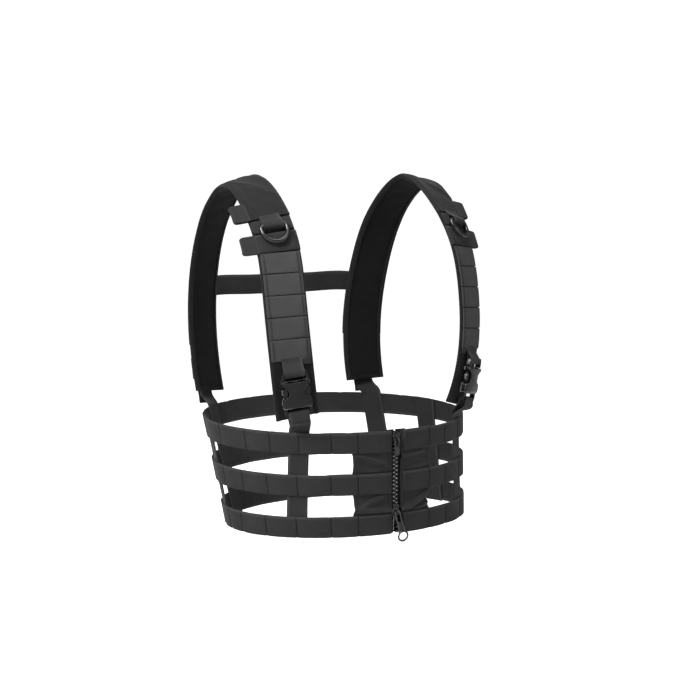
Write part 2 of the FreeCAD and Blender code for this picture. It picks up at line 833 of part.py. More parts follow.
def build_male(line, side):
    """The buckle's upper half: a slotted base and a guide, with the two prongs beside it."""
    name = f"male_{side}"
    base = block(
        name + "_base", "Sizes.male_width", "Sizes.male_thick", "Sizes.male_long",
        z="Sizes.layer_gap",
    )
    softened = rounded(name + "_soft", base, 1.6, lambda e: runs_along(e, Vector(0, 0, 1)))
    slot = block(
        name + "_slot", "Sizes.slot_width", "2 * Sizes.male_thick", "Sizes.slot_long",
        z="Sizes.male_slot_at",
    )
    recess = block(
        name + "_recess", "Sizes.slot_width", "Sizes.male_thick",
        "Sizes.male_long", y="-Sizes.male_thick + Sizes.male_recess",
        z="Sizes.male_slot_at + Sizes.slot_long",
    )
    plate = carved(name + "_plate", softened, [slot, recess])
    guide = block(
        name + "_guide", "Sizes.guide_width", "Sizes.prong_thick", "Sizes.prong_long",
        z="Sizes.layer_gap - Sizes.prong_long",
    )
    male = joined(name, [plate, guide])
    seat = on_strap(line, side, mm("buckle_mouth_at"), mm("buckle_stand"))
    male.Placement = seat
    keep(male, f"buckle_male_{side}")
    for where, sign in (("outer", 1), ("inner", -1)):
        facing = sign if side == "left" else -sign
        arm = block(
            f"{name}_arm_{where}", "Sizes.prong_width", "Sizes.prong_thick",
            "Sizes.prong_long", x=f"{facing} * (Sizes.prong_from + Sizes.prong_width / 2)",
            z="-Sizes.prong_long",
        )
        head = block(
            f"{name}_head_{where}", "Sizes.head_width", "Sizes.prong_thick",
            "Sizes.head_long", x=f"{facing} * (Sizes.prong_from + Sizes.head_width / 2)",
            z="-Sizes.prong_long + Sizes.prong_nose",
        )
        prong = joined(f"{name}_prong_{where}", [arm, head])
        round_head = rounded(
            f"{name}_prong_soft_{where}", prong, 1.5,
            lambda e: runs_along(e, Vector(0, 1, 0), mm("prong_thick") - 0.1)
            and abs(e.Vertexes[0].Point.x) > mm("prong_from") + mm("prong_width") + 1,
        )
        round_head.Placement = seat
        keep(round_head, f"prong_{where}_{side}")


def build_male_web(line, side):
    """The short webbing from under the strap's ladder webbing to the buckle's upper half."""
    start, _, across, normal = strap_frame(line, mm("pals_start") - 1)
    start = start - normal * (mm("pad_depth") - mm("layer_gap") - mm("web_thick") / 2)
    bar_at = mm("buckle_mouth_at") + mm("male_long") + 1.2
    end, tangent, _, normal = strap_frame(line, bar_at)
    end = end + normal * mm("buckle_stand")
    middle = (start + end) * 0.5 + normal * 0.6
    web = loft(path_sections([start, middle, end], across))
    soft(f"male_web_{side}", mirrored(web, side))


# ---------------------------------------------------------------- back of the harness


def build_lock(line, side):
    """The ladder lock on the back: a flat frame with three bars."""
    body = doc.addObject("PartDesign::Body", f"lock_{side}")
    frame = new_sketch(body, "XZ_Plane", f"lock_frame_{side}")
    half = "Sizes.lock_width / 2"
    rectangle(frame, "frame", [f"-{half}", half, "-Sizes.lock_bar / 2", LOCK_TOP])
    opening = "Sizes.slot_width / 2"
    gap = "(Sizes.lock_long - 3 * Sizes.lock_bar) / 2"
    for number in (0, 1):
        low = f"Sizes.lock_bar / 2 + {number} * ({gap} + Sizes.lock_bar)"
        rectangle(frame, f"gap{number}", [f"-{opening}", opening, low, f"{low} + {gap}"])
    pad(body, frame, "Sizes.lock_thick", symmetric=True)
    body.Placement = on_strap(line, side, lock_start(line), mm("lock_stand"))
    keep(body, f"ladder_lock_{side}")


def build_cross_strap(line):
    """A webbing across the shoulder blades with a sliding tri-glide in its middle."""
    point, _, across, normal = strap_frame(line, mm("cross_at"))
    half_pad = mm("pad_width") / 2
    lap, edge = [
        point - across * reach + normal * mm("cross_stand")
        for reach in (half_pad - mm("cross_lap"), half_pad + 1)
    ]
    middle = Vector(0, edge.y + mm("cross_bow"), edge.z)
    quarter = Vector(edge.x / 2, edge.y + 0.75 * mm("cross_bow"), edge.z)
    left = [lap, edge, quarter]
    right = [Vector(-place.x, place.y, place.z) for place in reversed(left)]
    soft("cross_strap", loft(path_sections([*left, middle, *right], Vector(0, 0, 1))))
    body = doc.addObject("PartDesign::Body", "glide")
    frame = new_sketch(body, "XZ_Plane", "glide_frame")
    high = "Sizes.glide_high / 2"
    wide = "Sizes.glide_width / 2"
    rectangle(frame, "frame", [f"-{high}", high, f"-{wide}", wide])
    tall = "Sizes.slot_width / 2"
    for name, low, top in (
        ("left_gap", f"-{high} + Sizes.glide_bar", "-Sizes.glide_bar / 2"),
        ("right_gap", "Sizes.glide_bar / 2", f"{high} - Sizes.glide_bar"),
    ):
        rectangle(frame, name, [low, top, f"-{tall}", tall])
    pad(body, frame, "Sizes.glide_thick", symmetric=True)
    stand = (mm("web_thick") + mm("glide_thick")) / 2 + mm("layer_gap")
    body.Placement = Placement(middle + Vector(0, stand, 0), Rotation())
    keep(body, "cross_glide")


def main():
    fill_sheet()
    line = strap_line()
    build_rows()
    build_panels_and_uprights(line)
    build_tapes()
    build_teeth()
    build_slider("lower_slider", "Sizes.lower_slider_at", f"Sizes.lower_slider_at - {HALF_SLIDER}")
    build_slider(
        "upper_slider", "Sizes.upper_slider_at",
        f"Sizes.upper_slider_at + {HALF_SLIDER} - Sizes.slider_post",
    )
    build_puller()
    build_tongue_pull()
    for side in ("right", "left"):
        build_strap(line, side)
        build_ring(line, side)
        build_female(line, side)
        build_male(line, side)
        build_male_web(line, side)
        build_lock(line, side)
    build_cross_strap(line)
    doc.recompute()
    check_and_write()


def check_and_write():
    """Stops if anything failed, then writes one file for each piece."""
    for item in doc.Objects:
        if "Invalid" in item.State or "Error" in item.State:
            raise RuntimeError(f"{item.Name} failed: {item.State}")
    for part in PARTS:
        if part.Shape.isNull() or not part.Shape.isValid() or not part.Shape.Solids:
            raise RuntimeError(part.Label + " isn't a valid solid")
    os.makedirs("parts", exist_ok=True)
    for part in PARTS:
        part.Shape.exportStep(f"parts/{part.Label}.step")
    print(len(PARTS), "pieces")


main()
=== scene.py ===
"""A zip-front harness vest: webbing rows, padded straps, buckles, D-rings and a two-way zip.

Shapes are worked out in millimetres on two curved surfaces, the belt and the left strap, and
are turned into metres, or mirrored for the wearer's right, when each mesh is made.
"""

import math
import random
from functools import lru_cache

import bmesh
import bpy
import mathutils
import numpy as np
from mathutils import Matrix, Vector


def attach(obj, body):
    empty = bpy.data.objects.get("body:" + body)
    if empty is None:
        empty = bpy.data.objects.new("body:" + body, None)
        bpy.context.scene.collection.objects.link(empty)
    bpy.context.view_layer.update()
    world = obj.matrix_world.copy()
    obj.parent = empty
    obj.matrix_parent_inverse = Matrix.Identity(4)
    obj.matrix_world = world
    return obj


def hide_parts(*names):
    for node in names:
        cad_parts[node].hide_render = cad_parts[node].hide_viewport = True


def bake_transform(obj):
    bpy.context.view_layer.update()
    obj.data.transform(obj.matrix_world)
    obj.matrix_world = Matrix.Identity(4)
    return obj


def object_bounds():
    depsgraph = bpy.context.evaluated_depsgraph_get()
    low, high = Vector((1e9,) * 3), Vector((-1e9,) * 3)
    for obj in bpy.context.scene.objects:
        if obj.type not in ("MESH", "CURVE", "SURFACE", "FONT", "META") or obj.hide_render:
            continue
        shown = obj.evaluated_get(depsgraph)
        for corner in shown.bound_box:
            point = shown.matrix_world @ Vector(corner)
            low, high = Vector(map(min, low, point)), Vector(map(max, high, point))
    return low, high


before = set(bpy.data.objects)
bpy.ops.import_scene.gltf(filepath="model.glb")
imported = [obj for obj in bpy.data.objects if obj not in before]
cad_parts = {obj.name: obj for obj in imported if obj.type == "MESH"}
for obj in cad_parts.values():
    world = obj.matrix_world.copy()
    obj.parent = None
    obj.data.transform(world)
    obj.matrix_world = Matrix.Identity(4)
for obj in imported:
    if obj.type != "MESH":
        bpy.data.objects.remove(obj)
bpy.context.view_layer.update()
MM = 0.001
SIDES = {"right": -1, "left": 1}

# Belt: an ellipse seen from above that narrows towards the waist.
TOP_HALF_WIDTH, TOP_HALF_DEPTH = 183, 122.7
LOW_HALF_WIDTH, LOW_HALF_DEPTH = 173, 97
BACK_RISE = 0.1
ROW_WIDTH, ROW_THICK = 25.4, 1.4
ROW_NAMES = ("low", "mid", "top")
WEB_WIDTH, WEB_THICK = 25.4, 1.5
GAP = 0.25
BELT_HIGH = 5 * ROW_WIDTH
PANEL_THICK = 2.6

# Places round the belt, in degrees of turn from the zip.
PANEL_NEAR = 2.9
PANEL_FAR = {"right": 20.6, "left": 19.3}
FRONT_TACKS = (3.3, 18.3, 30.3)
FRONT_UPRIGHT, SIDE_UPRIGHT, BACK_UPRIGHT = 45.5, 105.3, 135.2
COLUMN_STEP = (180 - FRONT_UPRIGHT) / 9
COLUMN_LEAN = 0.001

# Shoulder straps: stations of the left one, and distances along it from its front end.
STATIONS = (
    (126, -91, 147),
    (142, -99.5, 218),
    (147, -94, 290),
    (146, -80, 350),
    (144, -57, 390),
    (141, 10, 436),
    (139, 52, 412),
    (135, 100, 325),
    (130, 112, 240),
    (127, 101, 165),
)
CREST_TILT, FRONT_TURN, BACK_TURN = 14, 24, -16
PAD_HALF = 26
PAD_TOP, PAD_BOTTOM, PAD_EDGE = -3, -9.5, 1.9
SKIN_TOP = -1.25
PALS_START, PALS_END, PALS_CELLS, PALS_HALF = 74, 206, 5, 24
COVER_START, COVER_FROM_END = 254, 62
BEND_MIDDLE = 341
LOOP_STARTS = (207, 254)
LOOP_HIGH, LOOP_REACH, LOOP_THICK, LOOP_WALL, LOOP_CORNER = 25, 19, 5, 1.4, 3.4
RING_AT, RING_STAND, RING_RADIUS, RING_WIRE, RING_LEG = 240, 2.4, 16, 2.8, 6
MOUTH_AT, BUCKLE_STAND = 51, 5.4
FEMALE_LONG, FEMALE_WIDTH, FEMALE_THICK, FEMALE_THIN_FROM = 43, 35.5, 10, 29
LOCK_FROM_END, LOCK_STAND, LOCK_LONG = 41.6, 2.6, 26
CROSS_AT = 520

# Zip: the lower slider's wide end points down, and the teeth stand apart below it.
ZIP_FACE = 2 * GAP + PANEL_THICK + 0.5 - TOP_HALF_DEPTH
TOOTH_PITCH, TEETH_FROM, TEETH_COUNT = 5, 26.5, 19
ZIP_OPEN, ZIP_OPEN_BELOW = 0.35, 24
LOWER_SLIDER_AT, UPPER_SLIDER_AT = 29, 119
SLIDER_HALF_GAP, SLIDER_WALL = 2, 1.4
PULL_DROP, PULL_OUT = 1.9, 4.75
PULLER_LEAN, PULLER_TILT = 14, 5

# Which way the camera looks, and from how many metres.
CAMERA_AZIMUTH, CAMERA_ELEVATION, CAMERA_DISTANCE = -37.97, 4.575, 2.889
CAMERA_LENS = 121.7
LOOK_AT = np.array([-0.0047, -0.0163, 0.2316])

# Lights, each from a direction like the camera's: azimuth, elevation, distance, size and power.
LIGHTS = {
    "key": (-82, 40, 2.2, 0.9, 80),
    "fill": (20, 20, 2.6, 1.2, 18),
    "top": (-20, 78, 2.0, 1.0, 26),
}
AIR_LIGHT, PAPER_GLOW = 0.08, 0.75

SEED = 11


# ---------------------------------------------------------------- the vest's curved surfaces


def unit(vector):
    return vector / np.linalg.norm(vector)


def square_to(across, tangent):
    """The part of a width that is square to a tangent, as a unit vector."""
    return unit(across - tangent * across.dot(tangent))


def smooth(share):
    """0 below 0, 1 above 1 and an even curve between them."""
    share = min(1.0, max(0.0, share))
    return share * share * (3 - 2 * share)


def lengths_along(points):
    """The length of a line of points up to each of them."""
    steps = np.linalg.norm(np.diff(points, axis=0), axis=1)
    return np.concatenate([[0], np.cumsum(steps)])


def arc(a, b, radius, first, last, step, stretch=1):
    """Points round a centre from one angle to another, in degrees."""
    angles = np.radians(np.arange(first, last + step / 2, step))
    return [(a + radius * math.cos(t), b + radius * stretch * math.sin(t)) for t in angles]


def ridges(place, lines):
    """The height at a place of soft ridges, each from start to end with a width and a height."""
    height = 0.0
    for start, end, width, high in lines:
        run = end - start
        share = np.clip((place - start).dot(run) / run.dot(run), 0, 1)
        away = np.linalg.norm(place - start - run * share)
        height += high * math.exp(-((away / width) ** 2))
    return height


def belt_point(turn, high, out=0.0):
    """A point of the belt: turn from the zip, height above the lower edge, distance outwards."""
    share = high / BELT_HIGH
    half_width = LOW_HALF_WIDTH + (TOP_HALF_WIDTH - LOW_HALF_WIDTH) * share
    half_depth = LOW_HALF_DEPTH + (TOP_HALF_DEPTH - LOW_HALF_DEPTH) * share
    angle = math.radians(turn)
    x = (half_width + out) * math.sin(angle)
    y = half_depth - TOP_HALF_DEPTH - (half_depth + out) * math.cos(angle)
    return np.array([x, y, high + BACK_RISE * (y + TOP_HALF_DEPTH)])


class Ruler:
    """Lengths round the belt at one height."""

    def __init__(self, high):
        self.turns = np.linspace(0, 180, 721)
        self.lengths = lengths_along([belt_point(turn, high) for turn in self.turns])

    def length(self, turn):
        return float(np.interp(turn, self.turns, self.lengths))

    def turn(self, length):
        return float(np.interp(length, self.lengths, self.turns))


MIDDLE_RULER = Ruler(BELT_HIGH / 2)


def leaning(turn, high):
    """The turn of an upright column at a height: columns stay upright as the belt narrows."""
    fade = smooth((SIDE_UPRIGHT - turn) / 30)
    spread = COLUMN_LEAN * min(turn, 75) ** 2 * fade
    return turn + spread * (BELT_HIGH / 2 - high) / (2 * ROW_WIDTH)


class Path:
    """A smooth curve through points, by length along it."""

    def __init__(self, points):
        points = np.array(points, float)
        knots = lengths_along(points)
        slopes = self.slopes(points, knots)
        fine = np.linspace(0, knots[-1], 60 * len(points))
        self.places = np.array([self.between(points, knots, slopes, u) for u in fine])
        self.lengths = lengths_along(self.places)
        self.length = self.lengths[-1]

    @staticmethod
    def slopes(points, knots):
        """Slopes at the points that keep the curvature unbroken, with cubic ends."""
        count = len(points)
        gaps = np.diff(knots)
        matrix = np.eye(count)
        right = np.zeros((count, 3))
        for end, near in ((0, slice(0, 4)), (count - 1, slice(-4, None))):
            powers = np.vander(knots[near] - knots[end], increasing=True)
            right[end] = np.linalg.solve(powers, points[near])[1]
        for i in range(1, count - 1):
            before, after = gaps[i - 1], gaps[i]
            matrix[i, i - 1 : i + 2] = after, 2 * (before + after), before
            rises = (points[i] - points[i - 1]) / before, (points[i + 1] - points[i]) / after
            right[i] = 3 * (after * rises[0] + before * rises[1])
        return np.linalg.solve(matrix, right)

    @staticmethod
    def between(points, knots, slopes, u):
        i = int(np.clip(np.searchsorted(knots, u) - 1, 0, len(points) - 2))
        gap = knots[i + 1] - knots[i]
        t = (u - knots[i]) / gap
        place = (1 - t) ** 2 * ((1 + 2 * t) * points[i] + t * gap * slopes[i])
        return place + t**2 * ((3 - 2 * t) * points[i + 1] + (t - 1) * gap * slopes[i + 1])

    def point(self, along):
        return np.array([np.interp(along, self.lengths, self.places[:, k]) for k in range(3)])

    def tangent(self, along):
        along = min(max(along, 0.4), self.length - 0.4)
        return unit(self.point(along + 0.4) - self.point(along - 0.4))


STRAP = Path(STATIONS)


@lru_cache(maxsize=None)
def strap_frame(along):
    """The left strap's middle, its outward width, its outward normal and its tangent."""
    tangent = STRAP.tangent(along)
    inside = min(max(along, 0.0), STRAP.length)
    point = STRAP.point(inside) + tangent * (along - inside)
    tilt = math.radians(CREST_TILT)
    turn = math.radians(FRONT_TURN if along < BEND_MIDDLE else BACK_TURN)
    crest = np.array([math.cos(tilt), 0, -math.sin(tilt)])
    flat = np.array([math.cos(turn), math.sin(turn), 0])
    share = min(1.0, abs(BEND_MIDDLE - along) / 90)
    across = square_to(crest * (1 - share) + flat * share, tangent)
    return point, across, np.cross(across, tangent), tangent


def on_strap(along, across, out):
    point, width, normal, _ = strap_frame(round(along, 4))
    return point + width * across + normal * out


def flat_frame(at, stand):
    """A flat frame on the strap for moulded parts, as place(across, out, along)."""
    point, width, normal, tangent = strap_frame(float(at))

    def place(across, out, along):
        return point + width * across + normal * (stand + out) + tangent * along

    return place


def shifted(place, out):
    """The same frame, moved outwards."""

    def moved(across, depth, along):
        return place(across, depth + out, along)

    return moved


# ---------------------------------------------------------------- making meshes


# The angle past which an edge is sharp, in degrees: by material slot, and for all others.
SHARP = {"buckle_plastic": 40, "zip_metal": 40, "zip_teeth": 35}
SHARP_ELSEWHERE = 50


class Builder:
    """Gathers the vertices, faces, UVs and material numbers of one piece, in millimetres."""

    def __init__(self):
        self.points, self.faces, self.uvs, self.slots = [], [], [], []

    def add(self, points, faces, uvs, slot=0):
        base = len(self.points)
        self.points.extend(points)
        for face in faces:
            self.faces.append([base + i for i in face])
            self.uvs.append([uvs[i] for i in face])
            self.slots.append(slot)

    def skin(self, rings, slot=0, ends=True, flip=False):
        """A closed skin over rings of (point, uv) pairs."""
        width = len(rings[0])
        pairs = [pair for ring in rings for pair in (ring[::-1] if flip else ring)]
        last = len(pairs) - width
        faces = []
        for i in range(0, last, width):
            for j in range(width):
                k = (j + 1) % width
                faces.append([i + j, i + k, i + width + k, i + width + j])
        if ends:
            faces.append(list(range(width))[::-1])
            faces.append([last + j for j in range(width)])
        self.add([point for point, _ in pairs], faces, [uv for _, uv in pairs], slot)

    def make(self, name, materials, side, sharp):
        """The finished object in metres, mirrored for the wearer's right."""
        turn = -1 if side == "right" else 1
        points = np.array(self.points, float) * MM * (turn, 1, 1)
        mesh = bpy.data.meshes.new(name)
        mesh.from_pydata(points.tolist(), [], [face[::turn] for face in self.faces])
        layer = mesh.uv_layers.new(name="UVMap")
        layer.data.foreach_set("uv", [x * MM for face in self.uvs for uv in face[::turn] for x in uv])
        for material in materials:
            mesh.materials.append(material)
        mesh.polygons.foreach_set("material_index", self.slots)
        mesh.polygons.foreach_set("use_smooth", [True] * len(mesh.polygons))
        mesh.set_sharp_from_angle(angle=math.radians(sharp))
        mesh.update()
        made = bpy.data.objects.new(name, mesh)
        bpy.context.scene.collection.objects.link(made)
        return made

    def settle(self, side, slot, materials, body, name, *nodes):
        """The finished piece on its body, in place of its CAD nodes; {} in a name is the side."""
        piece = self.make(name.format(side), materials, side, SHARP.get(slot, SHARP_ELSEWHERE))
        if body:
            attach(piece, body.format(side))
        if nodes:
            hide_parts(*[node.format(side) for node in nodes])
        return piece


# The second material of a sewn piece is its thread.
THREAD_SLOT = 1


def web_outline(width, thick):
    """The outline of flat webbing as (across, out) pairs, with rounded edges."""
    r = thick / 2
    places = np.linspace(r - width / 2, width / 2 - r, 9)
    outline = [(a, r) for a in places] + arc(width / 2 - r, 0, r, 60, -60, -40)
    return outline + [(a, -r) for a in places[::-1]] + arc(r - width / 2, 0, r, -120, -240, -40)


def web_ring(point, across, tangent, along):
    """A ring of webbing round a point in space, as (point, uv) pairs."""
    normal = np.cross(across, tangent)
    outline = web_outline(WEB_WIDTH, WEB_THICK)
    return [(point + across * a + normal * b, (along, a + 3 * b)) for a, b in outline]


def steps_between(first, last, step, tight=()):
    """Distances from first to last, closer together near each tight place."""
    fine, count = 0.45, 4
    places = list(np.linspace(first, last, max(2, round((last - first) / step) + 1)))
    for centre in tight:
        places += [centre + k * fine for k in range(-count, count + 1)]
    kept = []
    for place in sorted(p for p in places if first <= p <= last):
        if not kept or place - kept[-1] > fine * 0.6:
            kept.append(float(place))
    kept[-1] = last
    return kept


def thread(builder, points, radius, slot=THREAD_SLOT, sides=4):
    """A thin round cord through points."""
    points = [np.array(p, float) for p in points]
    turns = [2 * math.pi * k / sides for k in range(sides)]
    rings = []
    for i, point in enumerate(points):
        tangent = unit(points[min(i + 1, len(points) - 1)] - points[max(i - 1, 0)])
        helper = np.array([0, 0, 1.0]) if abs(tangent[2]) < 0.8 else np.array([1.0, 0, 0])
        u = unit(np.cross(tangent, helper))
        v = np.cross(tangent, u)
        rings.append([(point + radius * (u * math.cos(t) + v * math.sin(t)), (i * 0.7, t)) for t in turns])
    builder.skin(rings, slot)


def ribbon(builder, spine, place, width, thick=WEB_THICK, slot=0):
    """Webbing whose middle follows (along, out) points, mapped by place(along, across, out)."""
    spine = np.array(spine, float)
    rings = []
    for i, (length, (along, out)) in enumerate(zip(lengths_along(spine), spine)):
        run, rise = unit(spine[min(i + 1, len(spine) - 1)] - spine[max(i - 1, 0)])
        rings.append([
            (place(along - rise * b, a, out + run * b), (length, a + 3 * b))
            for a, b in web_outline(width, thick)
        ])
    builder.skin(rings, slot)


def rounded_corner(before, corner, after, radius, most, count):
    """A curve that cuts a corner, taking up to a share of each side."""
    into, away = corner - before, after - corner
    cut = min(radius, most * np.linalg.norm(into), most * np.linalg.norm(away))
    start, end = corner - unit(into) * cut, corner + unit(away) * cut
    shares = np.linspace(0, 1, count)
    return [(1 - t) ** 2 * start + 2 * t * (1 - t) * corner + t**2 * end for t in shares]


def rounded_spine(corners, radius):
    """A line of (along, out) points through corners, each corner rounded."""
    longest = 2.4
    corners = [np.array(c, float) for c in corners]
    points = [corners[0]]
    for before, corner, after in zip(corners, corners[1:], corners[2:]):
        points += rounded_corner(before, corner, after, radius, 1 / 2, 7)
    points.append(corners[-1])
    filled = [points[0]]
    for point in points[1:]:
        start = filled[-1]
        count = max(1, int(np.linalg.norm(point - start) / longest))
        filled += [start + (point - start) * k / count for k in range(1, count + 1)]
    return [p for i, p in enumerate(filled) if i == 0 or np.linalg.norm(p - filled[i - 1]) > 1e-3]


def soft_outline(corners, radius):
    """A closed (across, along) outline with every corner rounded."""
    corners = [np.array(c, float) for c in corners]
    outline = []
    for before, corner, after in zip(corners[-1:] + corners, corners, corners[1:] + corners[:1]):
        outline += rounded_corner(before, corner, after, radius, 1 / 2.1, 6)
    return outline


def mirrored(half):
    """Points across the middle line in reverse order, to close an outline."""
    return [(-p[0], *p[1:]) for p in half[::-1]]


def both_halves(half, radius):
    """A rounded outline from its right half, listed from the top down."""
    return soft_outline(half + mirrored(half), radius)


def zigzag(builder, place, first, last, pitch, reach):
    """A zigzag stitch: place(along, sideways) gives points from first to last."""
    count = max(2, round(abs(last - first) / (pitch / 2)))
    points = []
    for i in range(count + 1):
        along = first + (last - first) * i / count
        points.append(place(along, reach if i % 2 else -reach))
    thread(builder, points, 0.3)


def running_stitch(builder, place, first, last, long=2.2):
    """A row of separate stitches: place(along, up) gives points from first to last."""
    gap = 0.9
    count = max(1, round(abs(last - first) / (long + gap)))
    pitch = (last - first) / count
    share = long / (long + gap)
    for i in range(count):
        start = first + pitch * i
        bow = ((0, -0.15), (0.25, 0.16), (0.75, 0.16), (1, -0.15))
        thread(builder, [place(start + pitch * share * t, up) for t, up in bow], 0.28)


def stitch_along(builder, across, out, first, last):
    """A row of stitches along the strap, at one distance across it."""

    def place(along, up):
        return on_strap(along, across, out + up)

    running_stitch(builder, place, first, last)


def stamped(builder, outlines, thick, soft, place, slot=0):
    """A flat moulded part: an outline, then its holes, with rounded edges front and back."""
    curve = bpy.data.curves.new("outline", "CURVE")
    curve.dimensions = "2D"
    curve.fill_mode = "BOTH"
    curve.extrude = thick / 2 - soft
    curve.bevel_depth = soft
    curve.bevel_resolution = 2
    curve.offset = -soft
    for outline in outlines:
        line = curve.splines.new("POLY")
        line.points.add(len(outline) - 1)
        line.points.foreach_set("co", [x for a, s in outline for x in (a, s, 0, 1)])
        line.use_cyclic_u = True
    drawn = bpy.data.objects.new("outline", curve)
    bpy.context.scene.collection.objects.link(drawn)
    mesh = bpy.data.meshes.new_from_object(drawn.evaluated_get(bpy.context.evaluated_depsgraph_get()))
    welded = bmesh.new()
    welded.from_mesh(mesh)
    bmesh.ops.remove_doubles(welded, verts=welded.verts, dist=1e-4)
    welded.verts.index_update()
    points = [place(v.co.x, v.co.z, v.co.y) for v in welded.verts]
    uvs = [(v.co.y, v.co.x) for v in welded.verts]
    builder.add(points, [[v.index for v in face.verts] for face in welded.faces], uvs, slot)
    welded.free()
    bpy.data.objects.remove(drawn)
    bpy.data.curves.remove(curve)
    bpy.data.meshes.remove(mesh)


def closed_wire(builder, loop, radius, place):
    """Round wire bent to a closed loop of (across, along) points in a flat frame."""
    sides = 14
    rings = []
    for i, (a, s) in enumerate(loop):
        run = unit(np.array(loop[(i + 1) % len(loop)], float) - np.array(loop[i - 1], float))
        ring = []
        for k in range(sides):
            angle = 2 * math.pi * k / sides
            off, out = radius * math.cos(angle), radius * math.sin(angle)
            ring.append((place(a - run[1] * off, out, s + run[0] * off), (i, k)))
        rings.append(ring)
    builder.skin(rings + rings[:1], ends=False)


def wire(builder, points, radius, place, sides=12):
    """Round wire through (across, out, along) points in a flat frame."""
    thread(builder, [place(*p) for p in points], radius, 0, sides)


def plate(builder, outline, low, high, place, slot, soft):
    """A flat part with softened faces: outline points, then depths from low to high."""
    outline = np.array(outline, float)
    middle = outline.mean(axis=0)
    small = middle + (outline - middle) * (1 - soft / np.abs(outline - middle).max())
    rings = []
    for shape, depth in ((small, low), (outline, low + soft), (outline, high - soft), (small, high)):
        rings.append([(place(a, depth, b), tuple(uv)) for (a, b), uv in zip(shape, outline)])
    builder.skin(rings, slot)


# ---------------------------------------------------------------- materials


# How far metal wear, and the highlight painted on plastic edges, reach from an edge, in metres.
EDGE_WEAR_AND_HIGHLIGHT = 0.0007
WHITE = (1, 1, 1, 1)


class Nodes:
    """Short calls for one material's nodes."""

    def __init__(self, name):
        self.material = bpy.data.materials.new(name)
        self.material.use_nodes = True
        self.tree = self.material.node_tree
        self.shader = self.tree.nodes["Principled BSDF"]

    def new(self, kind, **settings):
        node = self.tree.nodes.new(kind)
        for key, value in settings.items():
            setattr(node, key, value)
        return node

    def feed(self, socket, value):
        if isinstance(value, bpy.types.NodeSocket):
            self.tree.links.new(value, socket)
        else:
            socket.default_value = value

    def math(self, operation, first, second=0.0, third=0.0):
        node = self.new("ShaderNodeMath", operation=operation)
        for socket, value in zip(node.inputs, (first, second, third)):
            self.feed(socket, value)
        return node.outputs[0]

    def times(self, first, second):
        return self.math("MULTIPLY", first, second)

    def line(self, value, slope, start):
        """A value times a slope, from a start."""
        return self.math("MULTIPLY_ADD", value, slope, start)

    def wave(self, value):
        """A row of humps from 0 to 1, one to each whole number."""
        return self.math("ABSOLUTE", self.math("SINE", self.times(value, math.pi)))

    def mix(self, share, low, high):
        """A colour between two colours."""
        node = self.new("ShaderNodeMix", data_type="RGBA")
        self.feed(node.inputs[0], share)
        self.feed(node.inputs[6], low)
        self.feed(node.inputs[7], high)
        return node.outputs[2]

    def spread(self, value, low, high, to_low, to_high):
        node = self.new("ShaderNodeMapRange")
        for socket, number in zip(node.inputs, (value, low, high, to_low, to_high)):
            self.feed(socket, number)
        return node.outputs[0]

    def noise(self, vector, scale, detail=3.0):
        node = self.new("ShaderNodeTexNoise")
        self.feed(node.inputs["Vector"], vector)
        self.feed(node.inputs["Scale"], scale)
        self.feed(node.inputs["Detail"], detail)
        return node.outputs[0]

    def cloth_place(self):
        """Along and across in millimetres, and the vector they come from."""
        uv = self.new("ShaderNodeUVMap", uv_map="UVMap").outputs[0]
        split = self.new("ShaderNodeSeparateXYZ")
        self.feed(split.inputs[0], uv)
        return self.times(split.outputs[0], 1000.0), self.times(split.outputs[1], 1000.0), uv

    def object_place(self):
        return self.new("ShaderNodeTexCoord").outputs["Object"]

    def bump(self, height, distance):
        node = self.new("ShaderNodeBump")
        self.feed(node.inputs["Distance"], distance)
        self.feed(node.inputs["Height"], height)
        self.feed(self.shader.inputs["Normal"], node.outputs[0])

    def edges(self):
        """1 where the surface turns sharply, for wear along metal edges and painted highlights along
        plastic edges, and 0 on flat faces.
        """
        rounded = self.new("ShaderNodeBevel", samples=6)
        rounded.inputs["Radius"].default_value = EDGE_WEAR_AND_HIGHLIGHT
        geometry = self.new("ShaderNodeNewGeometry")
        agreement = self.new("ShaderNodeVectorMath", operation="DOT_PRODUCT")
        self.feed(agreement.inputs[0], rounded.outputs["Normal"])
        self.feed(agreement.inputs[1], geometry.outputs["Normal"])
        return self.spread(agreement.outputs["Value"], 0.985, 0.9, 0.0, 1.0)

    def finish(self, **values):
        for name, value in values.items():
            self.feed(self.shader.inputs[name.replace("_", " ")], value)
        return self.material


def grey(level, warmth=0.0):
    return (level * (1 + warmth), level, level * (1 - warmth), 1.0)


